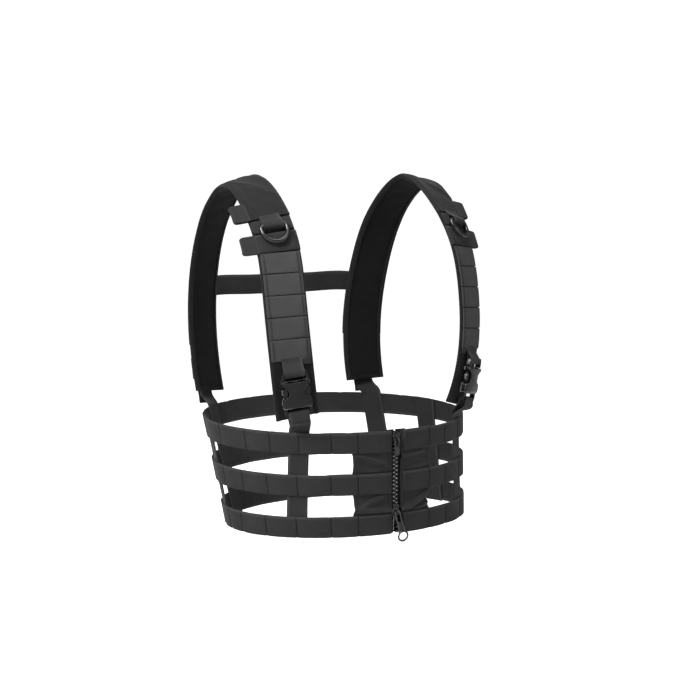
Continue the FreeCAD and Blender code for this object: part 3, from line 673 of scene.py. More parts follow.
def woven(name, level, rib, float_length, sheen, worn=None, depth=0.00012):
    """Woven nylon: ribs along the cloth, crossed by offset floats, with lint and worn edges."""
    nodes = Nodes(name)
    along, across, uv = nodes.cloth_place()
    ribs = nodes.math("DIVIDE", across, rib)
    every_other = nodes.times(nodes.math("FLOOR", ribs), 0.5)
    floats = nodes.math("ADD", nodes.math("DIVIDE", along, float_length), every_other)
    yarn = nodes.times(nodes.wave(ribs), nodes.line(nodes.wave(floats), 0.6, 0.4))
    lint = nodes.noise(uv, 900.0, 4.0)
    patches = nodes.noise(uv, 45.0, 2.0)
    tone = nodes.line(yarn, 0.5, nodes.line(lint, 0.4, -0.1))
    tone = nodes.math("ADD", tone, nodes.line(patches, 0.5, -0.25))
    colour = nodes.mix(tone, grey(level * 0.55), grey(level * 1.35, 0.004))
    if worn:
        edge = nodes.spread(nodes.math("ABSOLUTE", across), worn - 1.6, worn - 0.2, 0.0, 0.75)
        rubbed = nodes.times(edge, nodes.spread(lint, 0.35, 0.65, 0.2, 1.0))
        colour = nodes.mix(rubbed, colour, grey(level * 2.0))
    nodes.bump(nodes.line(lint, 0.35, yarn), depth)
    rough = nodes.spread(yarn, 0.0, 1.0, 0.95, 0.72)
    return nodes.finish(
        Base_Color=colour, Roughness=rough, Sheen_Weight=sheen, Sheen_Roughness=0.45,
        Sheen_Tint=WHITE, Specular_IOR_Level=0.12,
    )


def moulded(name, level, rough, edge_highlight_level, shine):
    """Moulded plastic: fine texture from the tool, soft gloss, and a light grey painted along the edges as
    highlights.
    """
    nodes = Nodes(name)
    place = nodes.object_place()
    grain = nodes.noise(place, 2500.0)
    smear = nodes.noise(place, 120.0)
    edge = nodes.times(nodes.edges(), nodes.spread(smear, 0.4, 0.7, 0.2, 1.0))
    # Towards the edges the colour turns light grey: painted highlights.
    colour = nodes.mix(edge, nodes.mix(smear, grey(level * 0.8), grey(level * 1.2)), grey(edge_highlight_level))
    nodes.bump(grain, 0.00002)
    roughness = nodes.spread(smear, 0.3, 0.7, rough - 0.02, rough + 0.03)
    return nodes.finish(Base_Color=colour, Roughness=roughness, Specular_IOR_Level=shine)


def enamel(name, level, rough, metal_level, coat):
    """Black-coated metal: a clear gloss over dark enamel, thinner at the edges."""
    nodes = Nodes(name)
    place = nodes.object_place()
    orange_peel = nodes.noise(place, 900.0, 2.0)
    scuffs = nodes.noise(place, 260.0, 5.0)
    edge = nodes.times(nodes.edges(), nodes.spread(scuffs, 0.52, 0.7, 0.0, 0.5))
    colour = nodes.mix(edge, grey(level), grey(metal_level))
    nodes.bump(orange_peel, 0.00002)
    roughness = nodes.spread(scuffs, 0.3, 0.75, rough - 0.04, rough + 0.06)
    return nodes.finish(
        Base_Color=colour, Roughness=roughness, Metallic=nodes.times(edge, 0.8),
        Coat_Weight=coat, Coat_Roughness=0.1, Specular_IOR_Level=0.35,
    )


def sewing_thread():
    """Twisted bonded thread, darker than the webbing it holds: partly its own dark colour, partly painted
    shade for the creases at the tacks.
    """
    nodes = Nodes("sewing_thread")
    along, turn, _ = nodes.cloth_place()
    tone = nodes.line(nodes.math("SINE", nodes.line(along, 9.0, turn)), 0.5, 0.5)
    nodes.bump(tone, 0.00005)
    # Near black: the thread's own dark colour, darkened further as painted shade in the tack creases.
    colour = nodes.mix(tone, grey(0.003), grey(0.012))
    return nodes.finish(Base_Color=colour, Roughness=0.75, Specular_IOR_Level=0.2)


# Cloths, by grey level, then rib width and float length in millimetres.
WEBBING = woven("belt_webbing", 0.024, 1.0, 2.2, worn=ROW_WIDTH / 2, sheen=0.06)
WIDE_WEBBING = woven("strap_webbing", 0.046, 1.0, 2.2, worn=PALS_HALF, sheen=0.08)
CLOTH = woven("cordura_cloth", 0.022, 0.62, 0.62, sheen=0.08)
COVER_CLOTH = woven("cover_cloth", 0.014, 0.62, 0.62, sheen=0.08)
PAD_CLOTH = woven("pad_cloth", 0.009, 0.62, 0.62, sheen=0.05)
LINING = woven("pad_lining", 0.006, 1.6, 1.6, sheen=0.04, depth=0.0003)
BINDING = woven("edge_binding", 0.012, 0.5, 3.0, sheen=0.06)
ZIP_TAPE = woven("zip_tape", 0.010, 0.7, 1.2, sheen=0.05)
# Plastics, by grey level, roughness, grey level of the highlight painted along edges, and shine.
TEETH = moulded("zip_teeth", 0.008, 0.2, 0.1, 0.4)
# Each tooth's knob is coloured light grey: a painted highlight, not the tooth's own colour.
GLINT_PAINTED_KNOBS = moulded("tooth_knobs_painted_highlight", 0.3, 0.25, 0.5, 0.4)
# The buckle's edges are painted light grey as highlights on near-black plastic.
ACETAL = moulded("buckle_plastic", 0.005, 0.22, 0.6, 0.18)
# Coated metals, by grey level, roughness, grey level where rubbed, and clear gloss.
ENAMEL = enamel("black_enamel", 0.005, 0.24, 0.3, 0.35)
POLISHED = enamel("polished_black", 0.006, 0.16, 0.5, 1.0)
RING_COAT = enamel("ring_coating", 0.008, 0.3, 0.2, 0.3)
THREAD = sewing_thread()
SEWN_WEBBING = [WEBBING, THREAD]


# ---------------------------------------------------------------- belt


# Where a strip would start and stop bending as a front half swings out from the back, in metres; the
# strips are not bent.
SIDE_SWING, SHOULDER_SWING = (0, 0.017, 0), (0, 0.035, 0)


def swing(piece, side, start):
    """Bakes a strip's placement into its mesh; the strip is not bent."""
    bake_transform(piece)
    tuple(start)


def follow(piece, side, start, end):
    """Finds the strap's middle at two distances along it, and bakes the piece's placement into its mesh.
    """
    ends = [on_strap(along, 0, 0) * MM * (SIDES[side], 1, 1) for along in (start, end)]
    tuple(ends[0])
    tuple(ends[1])
    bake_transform(piece)


def tack_places(high, ruler):
    turns = list(FRONT_TACKS) + [FRONT_UPRIGHT + COLUMN_STEP * k for k in range(10)]
    return [ruler.length(min(180, leaning(turn, high))) for turn in turns]


def build_row(index, side, rng):
    """One row of webbing from the zip round to the middle of the back, billowed between tacks."""
    builder = Builder()
    middle = 2 * index * ROW_WIDTH + ROW_WIDTH / 2
    reach = ROW_WIDTH / 2 - 1.2
    ruler = Ruler(middle)
    tacks = tack_places(middle, ruler)
    start = ruler.length(PANEL_NEAR) + (1.4 if side == "left" else 0)
    end = ruler.length(180)
    heights = [rng.uniform(0.55, 1.2) for _ in tacks]
    tilts = [rng.uniform(-0.35, 0.35) for _ in tacks]

    def lift(along, across):
        """How far the webbing stands off between two tacks."""
        number = int(np.searchsorted(tacks, along))
        if number == 0 or number >= len(tacks):
            return 0.0
        share = (along - tacks[number - 1]) / (tacks[number] - tacks[number - 1])
        hump = 1 - abs(2 * share - 1) ** 2.6
        on_panel = 0.45 if number <= 2 else 1.0
        return on_panel * hump * (heights[number] + tilts[number] * across / ROW_WIDTH)

    def dip(along, width):
        return min(1.0, sum(math.exp(-(((along - tack) / width) ** 2)) for tack in tacks))

    rings = []
    for along in steps_between(start, end, 2.6, tight=tacks):
        turn = ruler.turn(along)
        pressed = dip(along, 0.7)
        folded = 0.5 * smooth((start + 9 - along) / 1.2) + 0.5 * smooth((start + 2.4 - along) / 0.6)
        ring = []
        for a, b in web_outline(ROW_WIDTH * (1 - 0.022 * dip(along, 1.8)), ROW_THICK):
            outer = smooth(b / ROW_THICK + 0.5)
            out = ROW_THICK / 2 + b + lift(along, a) + outer * (folded - 0.65 * pressed)
            ring.append((belt_point(turn, middle + a, out), (along, a + 3 * b)))
        rings.append(ring)
    builder.skin(rings)
    for tack in tacks[1:]:

        def crossing(across, sideways):
            turn = ruler.turn(min(end, tack + sideways))
            return belt_point(turn, middle + across, ROW_THICK - 0.45)

        zigzag(builder, crossing, -reach - 0.1, reach + 0.1, 1.15, 0.8)
    # The row's end beside the zip is sewn down twice on the wearer's right.
    for inset in (2.2, 5.4) if side == "right" else (6.5,):
        turn = ruler.turn(start + inset)

        def up_the_row(across, up):
            return belt_point(turn, middle + across, ROW_THICK + 0.55 + up)

        running_stitch(builder, up_the_row, -reach, reach)
    name = f"row_{ROW_NAMES[index]}"
    names = f"{name}_{side}", f"{name}_front_{side}", f"{name}_back", f"side_bend_{side}"
    row = builder.settle(side, "webbing", SEWN_WEBBING, None, *names)
    swing(row, side, SIDE_SWING)


# Folds in the cloth of each front panel, for the lower and the upper gap between rows: from
# and to as shares of the gap's width and height, then how wide and how high the fold is.
FOLDS = {
    "right": (
        (((0.0, 0.12), (1.0, 0.3), 3.4, 3.74), ((0.25, 0.95), (0.75, 0.45), 3.0, 2.42)),
        (((1.0, 0.95), (0.2, 0.4), 3.0, 2.86), ((0.1, 0.2), (0.8, 0.05), 2.6, 1.76)),
    ),
    "left": (
        (((0.02, 0.1), (0.95, 0.75), 3.2, 4.62), ((0.45, 0.05), (1.0, 0.35), 2.8, 2.64)),
        (((0.0, 0.75), (0.7, 0.9), 2.8, 1.98), ((0.2, 0.1), (1.0, 0.3), 2.6, 1.76)),
    ),
}

# How far each panel's outer edge draws in between the rows, in the lower and the upper gap.
PANEL_BOWS = {"right": (1.4, 1.8), "left": (7.0, 2.2)}


def build_panel(side, rng):
    """The cloth beside the zip: flat behind the rows, rumpled in the gaps between them."""
    builder = Builder()
    near_edge, far_edge = MIDDLE_RULER.length(2.35), MIDDLE_RULER.length(PANEL_FAR[side])
    wide = far_edge - near_edge
    size = np.array([wide, ROW_WIDTH])
    folds = [[(size * start, size * end, *rest) for start, end, *rest in gap] for gap in FOLDS[side]]
    across_count, up_count = 34, 96
    phases = [rng.uniform(0, 6.3) for _ in range(4)]

    def gap_at(high):
        """Which gap between rows a height is in, and how far up it as a share."""
        number = int(high // ROW_WIDTH)
        return (number // 2 if number in (1, 3) else None), high / ROW_WIDTH - number

    def bow(high):
        gap, up = gap_at(high)
        return 0.0 if gap is None else PANEL_BOWS[side][gap] * math.sin(math.pi * up) ** 0.8

    def outer_face(share, high):
        gap, up = gap_at(high)
        out = -GAP - 0.15
        if gap is not None:
            inside = smooth(min(up, 1 - up) / 0.16)
            ripple = 0.22 * math.sin(9 * share + 5 * up + phases[0]) * math.sin(7 * up + phases[1])
            out += inside * (ridges(size * (share, up), folds[gap]) + ripple + 0.35)
        edge = min(share, 1 - share) * wide
        return out + 0.45 * smooth((4.2 - edge) / 1.0) - 0.4 * smooth((0.9 - edge) / 0.9)

    rings = []
    for high in np.linspace(0, BELT_HIGH, up_count + 1):
        front, back = [], []
        for share in np.linspace(0, 1, across_count + 1):
            along = near_edge + (wide - bow(high)) * share
            turn = MIDDLE_RULER.turn(along)
            out = outer_face(share, high)
            thin = 0.5 * smooth((0.6 - min(share, 1 - share) * wide) / 0.6)
            inner = max(out - 2.2 + thin, -GAP - PANEL_THICK)
            front.append((belt_point(turn, high, out), (along, high)))
            back.append((belt_point(turn, high, inner), (along, high + 5)))
        rings.append(front + back[::-1])
    builder.skin(rings)
    for inset in (1.9, 4.9):
        turn = MIDDLE_RULER.turn(near_edge + inset)

        def up_the_edge(high, up):
            return belt_point(turn, high, outer_face(inset / wide, high) + up)

        for low in (ROW_WIDTH, 3 * ROW_WIDTH):
            running_stitch(builder, up_the_edge, low + 0.8, low + ROW_WIDTH - 0.8, 2.0)
    builder.settle(side, "padded_fabric", [CLOTH, THREAD], "{}_front", "panel_cloth_{}", "front_panel_{}")


def behind_rows(turn):
    """A map for webbing that lies upright behind the rows."""

    def place(high, across, out):
        middle = leaning(turn, high)
        per_degree = (MIDDLE_RULER.length(middle + 1) - MIDDLE_RULER.length(middle - 1)) / 2
        return belt_point(middle + across / per_degree, high, out)

    return place


BEHIND = -GAP - WEB_THICK / 2


def build_side_upright(side):
    builder = Builder()
    past = 0.6
    heights = np.linspace(-past, BELT_HIGH + past, 61)
    spine = [(high, BEHIND - 0.25 * math.sin(math.pi * k / 30) ** 2) for k, high in enumerate(heights)]
    ribbon(builder, spine, behind_rows(SIDE_UPRIGHT), WEB_WIDTH)
    builder.settle(side, "webbing", [WEBBING], "back", "side_web_{}", "side_upright_{}")


def rising_web(builder, turn, waypoints, end_across):
    """Webbing that leaves the top of the belt and follows 3-D waypoints to hardware."""
    lying = behind_rows(turn)

    def belt_across(high):
        return unit(lying(high, 1, BEHIND) - lying(high, -1, BEHIND))

    heights = np.linspace(0, BELT_HIGH, 40)
    points = [lying(high, 0, BEHIND) for high in heights]
    leave = len(heights) - 3
    path = Path(points[leave:] + waypoints)
    rings = []
    for i in range(leave):
        tangent = unit(points[i + 1] - points[max(i - 1, 0)])
        rings.append(web_ring(points[i], square_to(belt_across(heights[i]), tangent), tangent, heights[i]))
    flat = BELT_HIGH - heights[leave]
    for along in np.arange(0, path.length, 0.7):
        share = smooth((along - flat) / max(1.0, (path.length - flat) * 0.45))
        across = belt_across(BELT_HIGH) * (1 - share) + end_across * share
        tangent = path.tangent(along)
        rings.append(web_ring(path.point(along), square_to(across, tangent), tangent, BELT_HIGH + along))
    builder.skin(rings)


def build_front_upright(side):
    """The upright that holds the buckle: up the belt, over the lower bar, in and back down."""
    builder = Builder()
    flat = flat_frame(MOUTH_AT, BUCKLE_STAND)
    around = [(4.9, -48), (4.2, -43), (4.1, -40.5), (2.9, -38.4), (0, -37.6), (-2.9, -38.4), (-4.1, -41)]
    waypoints = [on_strap(-8, 0, 4.0)] + [flat(0, out, along) for out, along in around]
    waypoints += [flat(0, -4.4, -45), on_strap(-3, 0, 2.2), on_strap(-10, 0, 0.6)]
    rising_web(builder, FRONT_UPRIGHT, waypoints, strap_frame(0.0)[1])
    builder.settle(side, "webbing", SEWN_WEBBING, "{}_front", "buckle_web_{}", "front_upright_{}")


def build_back_upright(side):
    """The upright at the back, threaded through the ladder lock with a short free tail."""
    builder = Builder()
    top_bar = STRAP.length - LOCK_FROM_END
    middle_bar, low_bar = top_bar + LOCK_LONG / 2 - 2.2, top_bar + LOCK_LONG - 4.4
    around = [(STRAP.length + 4, 0.8), (low_bar + 6, 0.7), (low_bar, LOCK_STAND - 2.4)]
    around += [(middle_bar + 3, LOCK_STAND - 0.8), (middle_bar, LOCK_STAND + 3.2)]
    tail = [(low_bar, 4.0), (low_bar + 8, 2.2), (low_bar + 22, 1.0), (low_bar + 34, 1.8)]
    around += [(along, LOCK_STAND + out) for along, out in tail]
    waypoints = [on_strap(along, 0, out) for along, out in around]
    rising_web(builder, BACK_UPRIGHT, waypoints, -strap_frame(round(STRAP.length - 5, 4))[1])
    web = builder.settle(side, "webbing", SEWN_WEBBING, None, "lock_web_{}", "back_upright_{}")
    follow(web, side, low_bar + 20, low_bar + 1)


# ---------------------------------------------------------------- shoulder straps


# Points across the pad's face, and how far its cloth may puff out, in metres.
PAD_FACE_POINTS = 14
PAD_PUFF = 0.0028


def pad_outline():
    """The pad's outline: flat face, soft pinched edges, and a rounded side to the wearer."""
    edge = PAD_TOP - PAD_EDGE
    places = np.linspace(-PAD_HALF + 1, PAD_HALF - 1, PAD_FACE_POINTS)
    top = [(a, PAD_TOP - 1.1 * smooth((abs(a) - 19) / 6)) for a in places]
    deep = 0.72 * (PAD_BOTTOM - PAD_TOP)
    bottom = []
    for a in places[::-1]:
        share = 1 - smooth((abs(a) - 16) / 9)
        bottom.append((a, PAD_TOP - 1.1 - PAD_EDGE * (1 - share) + (deep + 1.1) * share))
    return top + [(PAD_HALF, edge)] + bottom + [(-PAD_HALF, edge)]


def inflate(piece, pins):
    """Fills a closed skin with foam: cloth under pressure, held at its seams."""
    group = piece.vertex_groups.new(name="seams")
    group.add(pins, 1.0, "REPLACE")
    cloth = piece.modifiers.new("cloth", "CLOTH")
    settings = cloth.settings
    settings.quality = 5
    settings.mass = 0.3
    settings.tension_stiffness = settings.compression_stiffness = 18
    settings.bending_stiffness = 0.6
    settings.use_pressure = True
    settings.uniform_pressure_force = 4
    settings.vertex_group_mass = "seams"
    settings.effector_weights.gravity = 0
    before = np.array([v.co for v in piece.data.vertices])
    for step in range(1, 21):
        bpy.context.scene.frame_set(step)
    shaped = piece.evaluated_get(bpy.context.evaluated_depsgraph_get()).data
    moved = np.array([v.co for v in shaped.vertices]) - before
    length = np.linalg.norm(moved, axis=1, keepdims=True)
    moved *= np.minimum(1.0, PAD_PUFF / np.maximum(length, 1e-9))
    piece.modifiers.remove(cloth)
    piece.vertex_groups.clear()
    bpy.context.scene.frame_set(1)
    return before + moved


def build_pads():
    """The padded straps. The first one is filled by simulation, the other is its mirror image."""
    builder = Builder()
    outline = pad_outline()
    width = len(outline)
    alongs = steps_between(1.0, STRAP.length - 1.0, 3.6)
    middle = PAD_TOP - PAD_EDGE
    rings, pins = [], []
    for i, along in enumerate(alongs):
        squeeze = 0.55 + 0.45 * smooth(min(along, STRAP.length - along) / 7)
        rings.append([
            (on_strap(along, a, middle + (b - middle) * squeeze), (along, a + 2 * b)) for a, b in outline
        ])
        at_end = i < 2 or i > len(alongs) - 3
        under_webbing = along > PALS_START - 2
        for j, (a, _) in enumerate(outline):
            if abs(a) > 21.5 or at_end or (j < PAD_FACE_POINTS and under_webbing):
                pins.append(i * width + j)
    builder.skin(rings)
    filled = None
    for side, sign in SIDES.items():
        names = "shoulder_pad_{}", "strap_pad_front_{}", "strap_pad_rear_{}", "shoulder_bend_{}"
        pad = builder.settle(side, "padded_fabric", [LINING, PAD_CLOTH], None, *names)
        for polygon in pad.data.polygons:
            polygon.material_index = int(polygon.vertices[0] % width < PAD_FACE_POINTS)
        if filled is None:
            filled = inflate(pad, pins) * (sign, 1, 1)
        placed = filled * (sign, 1, 1)
        pad.data.vertices.foreach_set("co", placed.astype(np.float32).ravel())
        softer = pad.modifiers.new("softer", "SUBSURF")
        softer.levels = softer.render_levels = 1
        swing(pad, side, SHOULDER_SWING)


def binding_outline(sign):
    """A tape folded over the pad's edge, as a thin closed outline round the fold."""
    outside = [(21.6, 0.15), (23.6, 0.1), (25.4, -0.15), (26.5, -1.0), (26.7, -1.9), (26.4, -2.9)]
    outside += [(25.2, -3.6), (23.2, -4.1), (21.4, -4.7)]
    inside = [(a - 0.55, b + (0.5 if b < -1.9 else -0.5)) for a, b in outside[::-1]]
    inside[-1] = (21.5, -0.4)
    return [(sign * a, PAD_TOP - 0.55 + b) for a, b in outside + inside]


def end_binding(a):
    """The same tape round the pad's end, as (along, out) pairs, pinched towards the corners."""
    outside = [(5.2, -0.35), (2.5, -0.5), (0.2, -0.9), (-0.5, -2.0), (0.1, -3.3), (2.6, -4.6), (5.0, -5.3)]
    inside = [(4.8, -4.8), (1.2, -3.0), (1.0, -1.9), (2.5, -1.1), (5.1, -0.9)]
    pinch = 1 - 0.5 * smooth((abs(a) - 19.5) / 6)
    return [(s, (b + 2.4) * pinch - 2.4) for s, b in outside + inside]


def build_binding(side):
    """Grosgrain tape along both edges of the pad and across its ends, stitched near its hem."""
    builder = Builder()
    alongs = steps_between(0.2, STRAP.length - 0.2, 4.5)
    for sign in (-1, 1):
        outline = binding_outline(sign)
        rings = [[(on_strap(along, a, b), (along, a + b)) for a, b in outline] for along in alongs]
        builder.skin(rings, flip=sign == -1)
        for first, last in ((4, PALS_START - 2), (STRAP.length - COVER_FROM_END + 2, STRAP.length - 4)):
            stitch_along(builder, sign * 22.6, PAD_TOP - 0.3, first, last)
    for at, towards in ((0.4, 1), (STRAP.length - 0.4, -1)):
        rings = []
        for a in np.linspace(-PAD_HALF + 0.1, PAD_HALF - 0.1, 28):
            outline = end_binding(a)
            rings.append([(on_strap(at + towards * s, a, PAD_TOP + b), (a, s + b)) for s, b in outline])
        builder.skin(rings, flip=towards == 1)
    binding = builder.settle(side, "padded_fabric", [BINDING, THREAD], None, "pad_binding_{}")
    swing(binding, side, SHOULDER_SWING)


# Wrinkles of the shoulder cover: from and to as (along, across), then width and height.
WRINKLES = (
    ((284, -26), (306, 8), 3.4, 1.5),
    ((296, -10), (326, 24), 3.8, 1.4),
    ((272, 14), (300, 27), 3.0, 0.9),
    ((312, -24), (348, -2), 4.2, 1.3),
    ((336, 8), (366, 25), 4.0, 1.0),
    ((262, -22), (276, -4), 2.6, 0.7),
    ((362, -20), (398, 6), 4.5, 0.9),
)


def build_cover(side, rng):
    """The cloth over the shoulder: hemmed at its front edge, wrapped over the pad's edges."""
    builder = Builder()
    wrinkles = []
    for start, end, *rest in WRINKLES:
        shift = np.array([rng.uniform(-4, 4), 0])
        wrinkles.append((shift + start, shift + end, *rest))

    def rise(along, across):
        height = ridges(np.array([along, -SIDES[side] * across]), wrinkles)
        return height * smooth((27 - abs(across)) / 9) * smooth((along - COVER_START - 7) / 8)

    def drop(across):
        """How far the cover wraps down over the pad's edge."""
        return 3.0 * smooth((abs(across) - 22) / 5.6) ** 1.5

    rings = []
    places = np.concatenate([[-27.6, -27.2], np.linspace(-26.2, 26.2, 29), [27.2, 27.6]])
    for along in steps_between(COVER_START, STRAP.length - COVER_FROM_END, 2.4, tight=(COVER_START + 1,)):
        hem = 0.6 * smooth((COVER_START + 3.4 - along) / 0.8)
        front, back = [], []
        for a in places:
            out = SKIN_TOP - 0.25 - drop(a) + rise(along, a) + hem
            front.append((on_strap(along, a, out), (along, a)))
            back.append((on_strap(along, a * 0.985, out - 0.9 - hem * 0.5), (along, a + 90)))
        rings.append(front + back[::-1])
    builder.skin(rings)
    hem_at, edge_at = COVER_START + 4.4, 23.4

    def hem_line(across, up):
        return on_strap(hem_at, across, SKIN_TOP - 0.2 + rise(hem_at, across) + up)

    running_stitch(builder, hem_line, -22, 22)
    for across in (-edge_at, edge_at):

        def edge_line(along, up):
            return on_strap(along, across, SKIN_TOP - 0.62 - drop(across) + rise(along, across) + up)

        running_stitch(builder, edge_line, COVER_START + 6, STRAP.length - COVER_FROM_END - 4)
    names = "cover_cloth_{}", "shoulder_cover_{}"
    cover = builder.settle(side, "padded_fabric", [COVER_CLOTH, THREAD], None, *names)
    swing(cover, side, SHOULDER_SWING)


def build_pals(side, rng):
    """Five bands of webbing sewn crosswise on the chest, zigzag-stitched near both edges."""
    builder = Builder()
    step = (PALS_END - PALS_START) / PALS_CELLS
    for cell in range(PALS_CELLS):
        low, high = PALS_START + step * cell + 0.45, PALS_START + step * (cell + 1) - 0.45
        slant = rng.uniform(0.25, 0.75)
        crown = rng.uniform(0.35, 0.7)
        rings = []
        for a in np.linspace(-PALS_HALF, PALS_HALF, 25):
            middle = (low + high) / 2 + slant * a / PALS_HALF
            tuck = 0.35 * smooth((abs(a) - 20) / 3)
            ring = []
            for s, b in web_outline(high - low, 1.4):
                bulge = crown * math.cos(math.pi * s / (high - low)) * math.cos(math.pi * a / 56)
                ring.append((on_strap(middle + s, a, -2.0 + b + bulge - tuck), (a, s + 3 * b)))
            rings.append(ring)
        builder.skin(rings, flip=True)
        for sign in (-1, 1):

            def up_the_edge(along, sideways):
                return on_strap(along, sign * 20.6 + sideways, -1.2 + 0.06 * abs(sideways))

            zigzag(builder, up_the_edge, low + 1.4, high - 1.4, 3.1, 1.25)

    def below_bands(across, along, out):
        return on_strap(PALS_START - 2.6 + along, across, out)

    folded_end = [(-23.4, -1.9), (-18, -1.5), (-12.4, -1.9)]
    ribbon(builder, rounded_spine(folded_end, 4), below_bands, 7.4, 1.3, 2)
    materials = [WIDE_WEBBING, THREAD, WEBBING]
    builder.settle(side, "webbing", materials, "{}_front", "strap_webbing_{}", "strap_pals_{}")


def crosswise_ring(along, across, out, width, thick):
    """A ring of webbing that runs across the strap, as (point, uv) pairs."""
    outline = web_outline(width, thick)
    return [(on_strap(along + s, across, out + b), (across, s + 3 * b)) for s, b in outline]


def loop_outline(radius, flare):
    """A flat tunnel's outline at the strap's outer edge, as (across, out) pairs."""
    half = LOOP_THICK / 2
    near, far = PAD_HALF - 3.0 + half, PAD_HALF + GAP + LOOP_REACH + flare - half
    centre = SKIN_TOP - half
    return arc(far, centre, radius, -90, 90, 15) + arc(near, centre, radius, 90, 270, 15)


def build_loops(side):
    """Two flat tunnels of webbing for cables, the lower one sewn on with a band across."""
    builder = Builder()
    near_end = [0, 0.15, 0.5, 1.0, 1.7, 2.5, 3.4, 6.0, 9.0]
    for start in LOOP_STARTS:
        outer_rings, inner_rings = [], []
        for high in near_end + [LOOP_HIGH - h for h in near_end[::-1]]:
            inset = max(0.0, LOOP_CORNER - min(high, LOOP_HIGH - high))
            cut = LOOP_CORNER - math.sqrt(LOOP_CORNER**2 - inset**2)
            flare = -cut - 0.5 * math.sin(math.pi * high / LOOP_HIGH)
            outside = loop_outline(LOOP_THICK / 2, flare)
            inside = loop_outline(LOOP_THICK / 2 - LOOP_WALL, flare)
            uvs = [(high, a - 35 + 2 * b) for a, b in outside]
            for rings, outline, order in ((outer_rings, outside, 1), (inner_rings, inside, -1)):
                pairs = zip(outline, uvs[::order])
                rings.append([(on_strap(start + high, a, b), uv) for (a, b), uv in pairs])
        builder.skin(outer_rings, ends=False)
        builder.skin(inner_rings, 2, ends=False, flip=True)
        width = len(outer_rings[0])
        for end, turn in ((0, -1), (-1, 1)):
            points = [point for point, _ in outer_rings[end] + inner_rings[end]]
            faces = []
            for j in range(width):
                k = (j + 1) % width
                faces.append([j, k, width + k, width + j][::turn])
            builder.add(points, faces, [(0, 0.4 * j) for j in range(2 * width)])
    start = LOOP_STARTS[0]
    rings = []
    for a in np.linspace(-PAD_HALF - 1.2, PAD_HALF - 1.0, 27):
        out = SKIN_TOP - 0.5 - 2.6 * smooth((-a - 24) / 3.2)
        rings.append(crosswise_ring(start + LOOP_HIGH / 2, a, out, LOOP_HIGH, 1.4))
    builder.skin(rings, flip=True)

    def low_hem(across, up):
        return on_strap(start + 2.2, across, SKIN_TOP + 0.2 + up)

    running_stitch(builder, low_hem, -22, 22)
    for inset in (2.6, 5.0):
        stitch_along(builder, inset - PAD_HALF, SKIN_TOP + 0.2, start + 2, start + LOOP_HIGH - 2)
    materials = [WEBBING, THREAD, LINING]
    builder.settle(side, "webbing", materials, "{}_front", "cable_tunnels_{}", "cable_loops_{}")


def build_keeper(side):
    """Webbing that holds the D-ring: out from under the cover, round the bar and back under."""
    builder = Builder()
    round_bar = RING_WIRE + GAP + WEB_THICK / 2 + 0.1
    spine = [(COVER_START + 3, SKIN_TOP + 0.4), (RING_AT + 9, SKIN_TOP + 2.4)]
    spine += [(RING_AT + 3, RING_STAND + round_bar - 0.25)]
    spine += [(RING_AT - s, RING_STAND + b) for s, b in arc(0, 0, round_bar, 80, -80, -16)]
    spine += [(RING_AT + 5, RING_STAND - round_bar + 0.15), (COVER_START + 2, SKIN_TOP - 0.5)]
    ribbon(builder, rounded_spine(spine, 1.6), on_strap, WEB_WIDTH)
    # A tab under the ring, sewn across the strap and rounded at its outer tip.
    rings = []
    for a in np.linspace(-PAD_HALF + 1, PAD_HALF + 1.8, 30):
        tip = smooth((a - PAD_HALF + 4) / 5.5)
        rings.append(crosswise_ring(RING_AT + 3, a, SKIN_TOP - 0.9 + 0.8 * tip, 17.6 - 9.2 * tip**3, 1.3))
    builder.skin(rings, flip=True)
    builder.settle(side, "webbing", SEWN_WEBBING, "{}_front", "ring_keeper_{}", "d_ring_keeper_{}")


def build_ring(side):
    """The D-ring: one bent wire with a straight bar, rounded corners and a bow."""
    builder = Builder()
    half = [(RING_RADIUS, 0), (RING_RADIUS, -RING_LEG)]
    half += arc(0, -RING_LEG, RING_RADIUS, -6, -90, -6)
    loop = soft_outline([(0, 0)] + half + mirrored(half[:-1]), 4.2)
    closed_wire(builder, loop, RING_WIRE, flat_frame(RING_AT, RING_STAND))
    builder.settle(side, "ring_metal", [RING_COAT], "{}_d_ring", "d_ring_{}_bow", "d_ring_{}")


# ---------------------------------------------------------------- buckles and adjusters


def keep_cad(node):
    """Gives a carried-over CAD node its finish, with its moulded edges rounded."""
    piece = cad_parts[node]
    piece.data.materials.clear()
    piece.data.materials.append(ACETAL)
    edge = piece.modifiers.new("edges", "BEVEL")
    edge.width = 0.8 * MM
    edge.segments = 3
    edge.limit_method = "ANGLE"
    edge.angle_limit = math.radians(35)
    edge.harden_normals = True


def build_male_web(side):
    """Webbing from under the strap's bands, over the buckle's bar, in and back up behind it."""
    builder = Builder()
    bar, slot = MOUTH_AT + 8.8, MOUTH_AT + 4.7
    spine = [(PALS_START + 8, -2.6), (PALS_START - 1, -1.2), (PALS_START - 6, 2.6)]
    around = [(bar + 1.5, 3.0), (slot + 1.0, 2.6), (slot - 0.2, 0), (slot + 1.4, -2.9), (bar + 3, -3.6)]
    spine += [(along, BUCKLE_STAND + out) for along, out in around]
    spine += [(PALS_START - 1.5, -0.4)]
    ribbon(builder, rounded_spine(spine, 2.6), on_strap, WEB_WIDTH - 0.4)
    web = builder.settle(side, "webbing", SEWN_WEBBING, None, "slack_web_{}", "male_web_{}")
    follow(web, side, PALS_START + 2, PALS_START - 11)


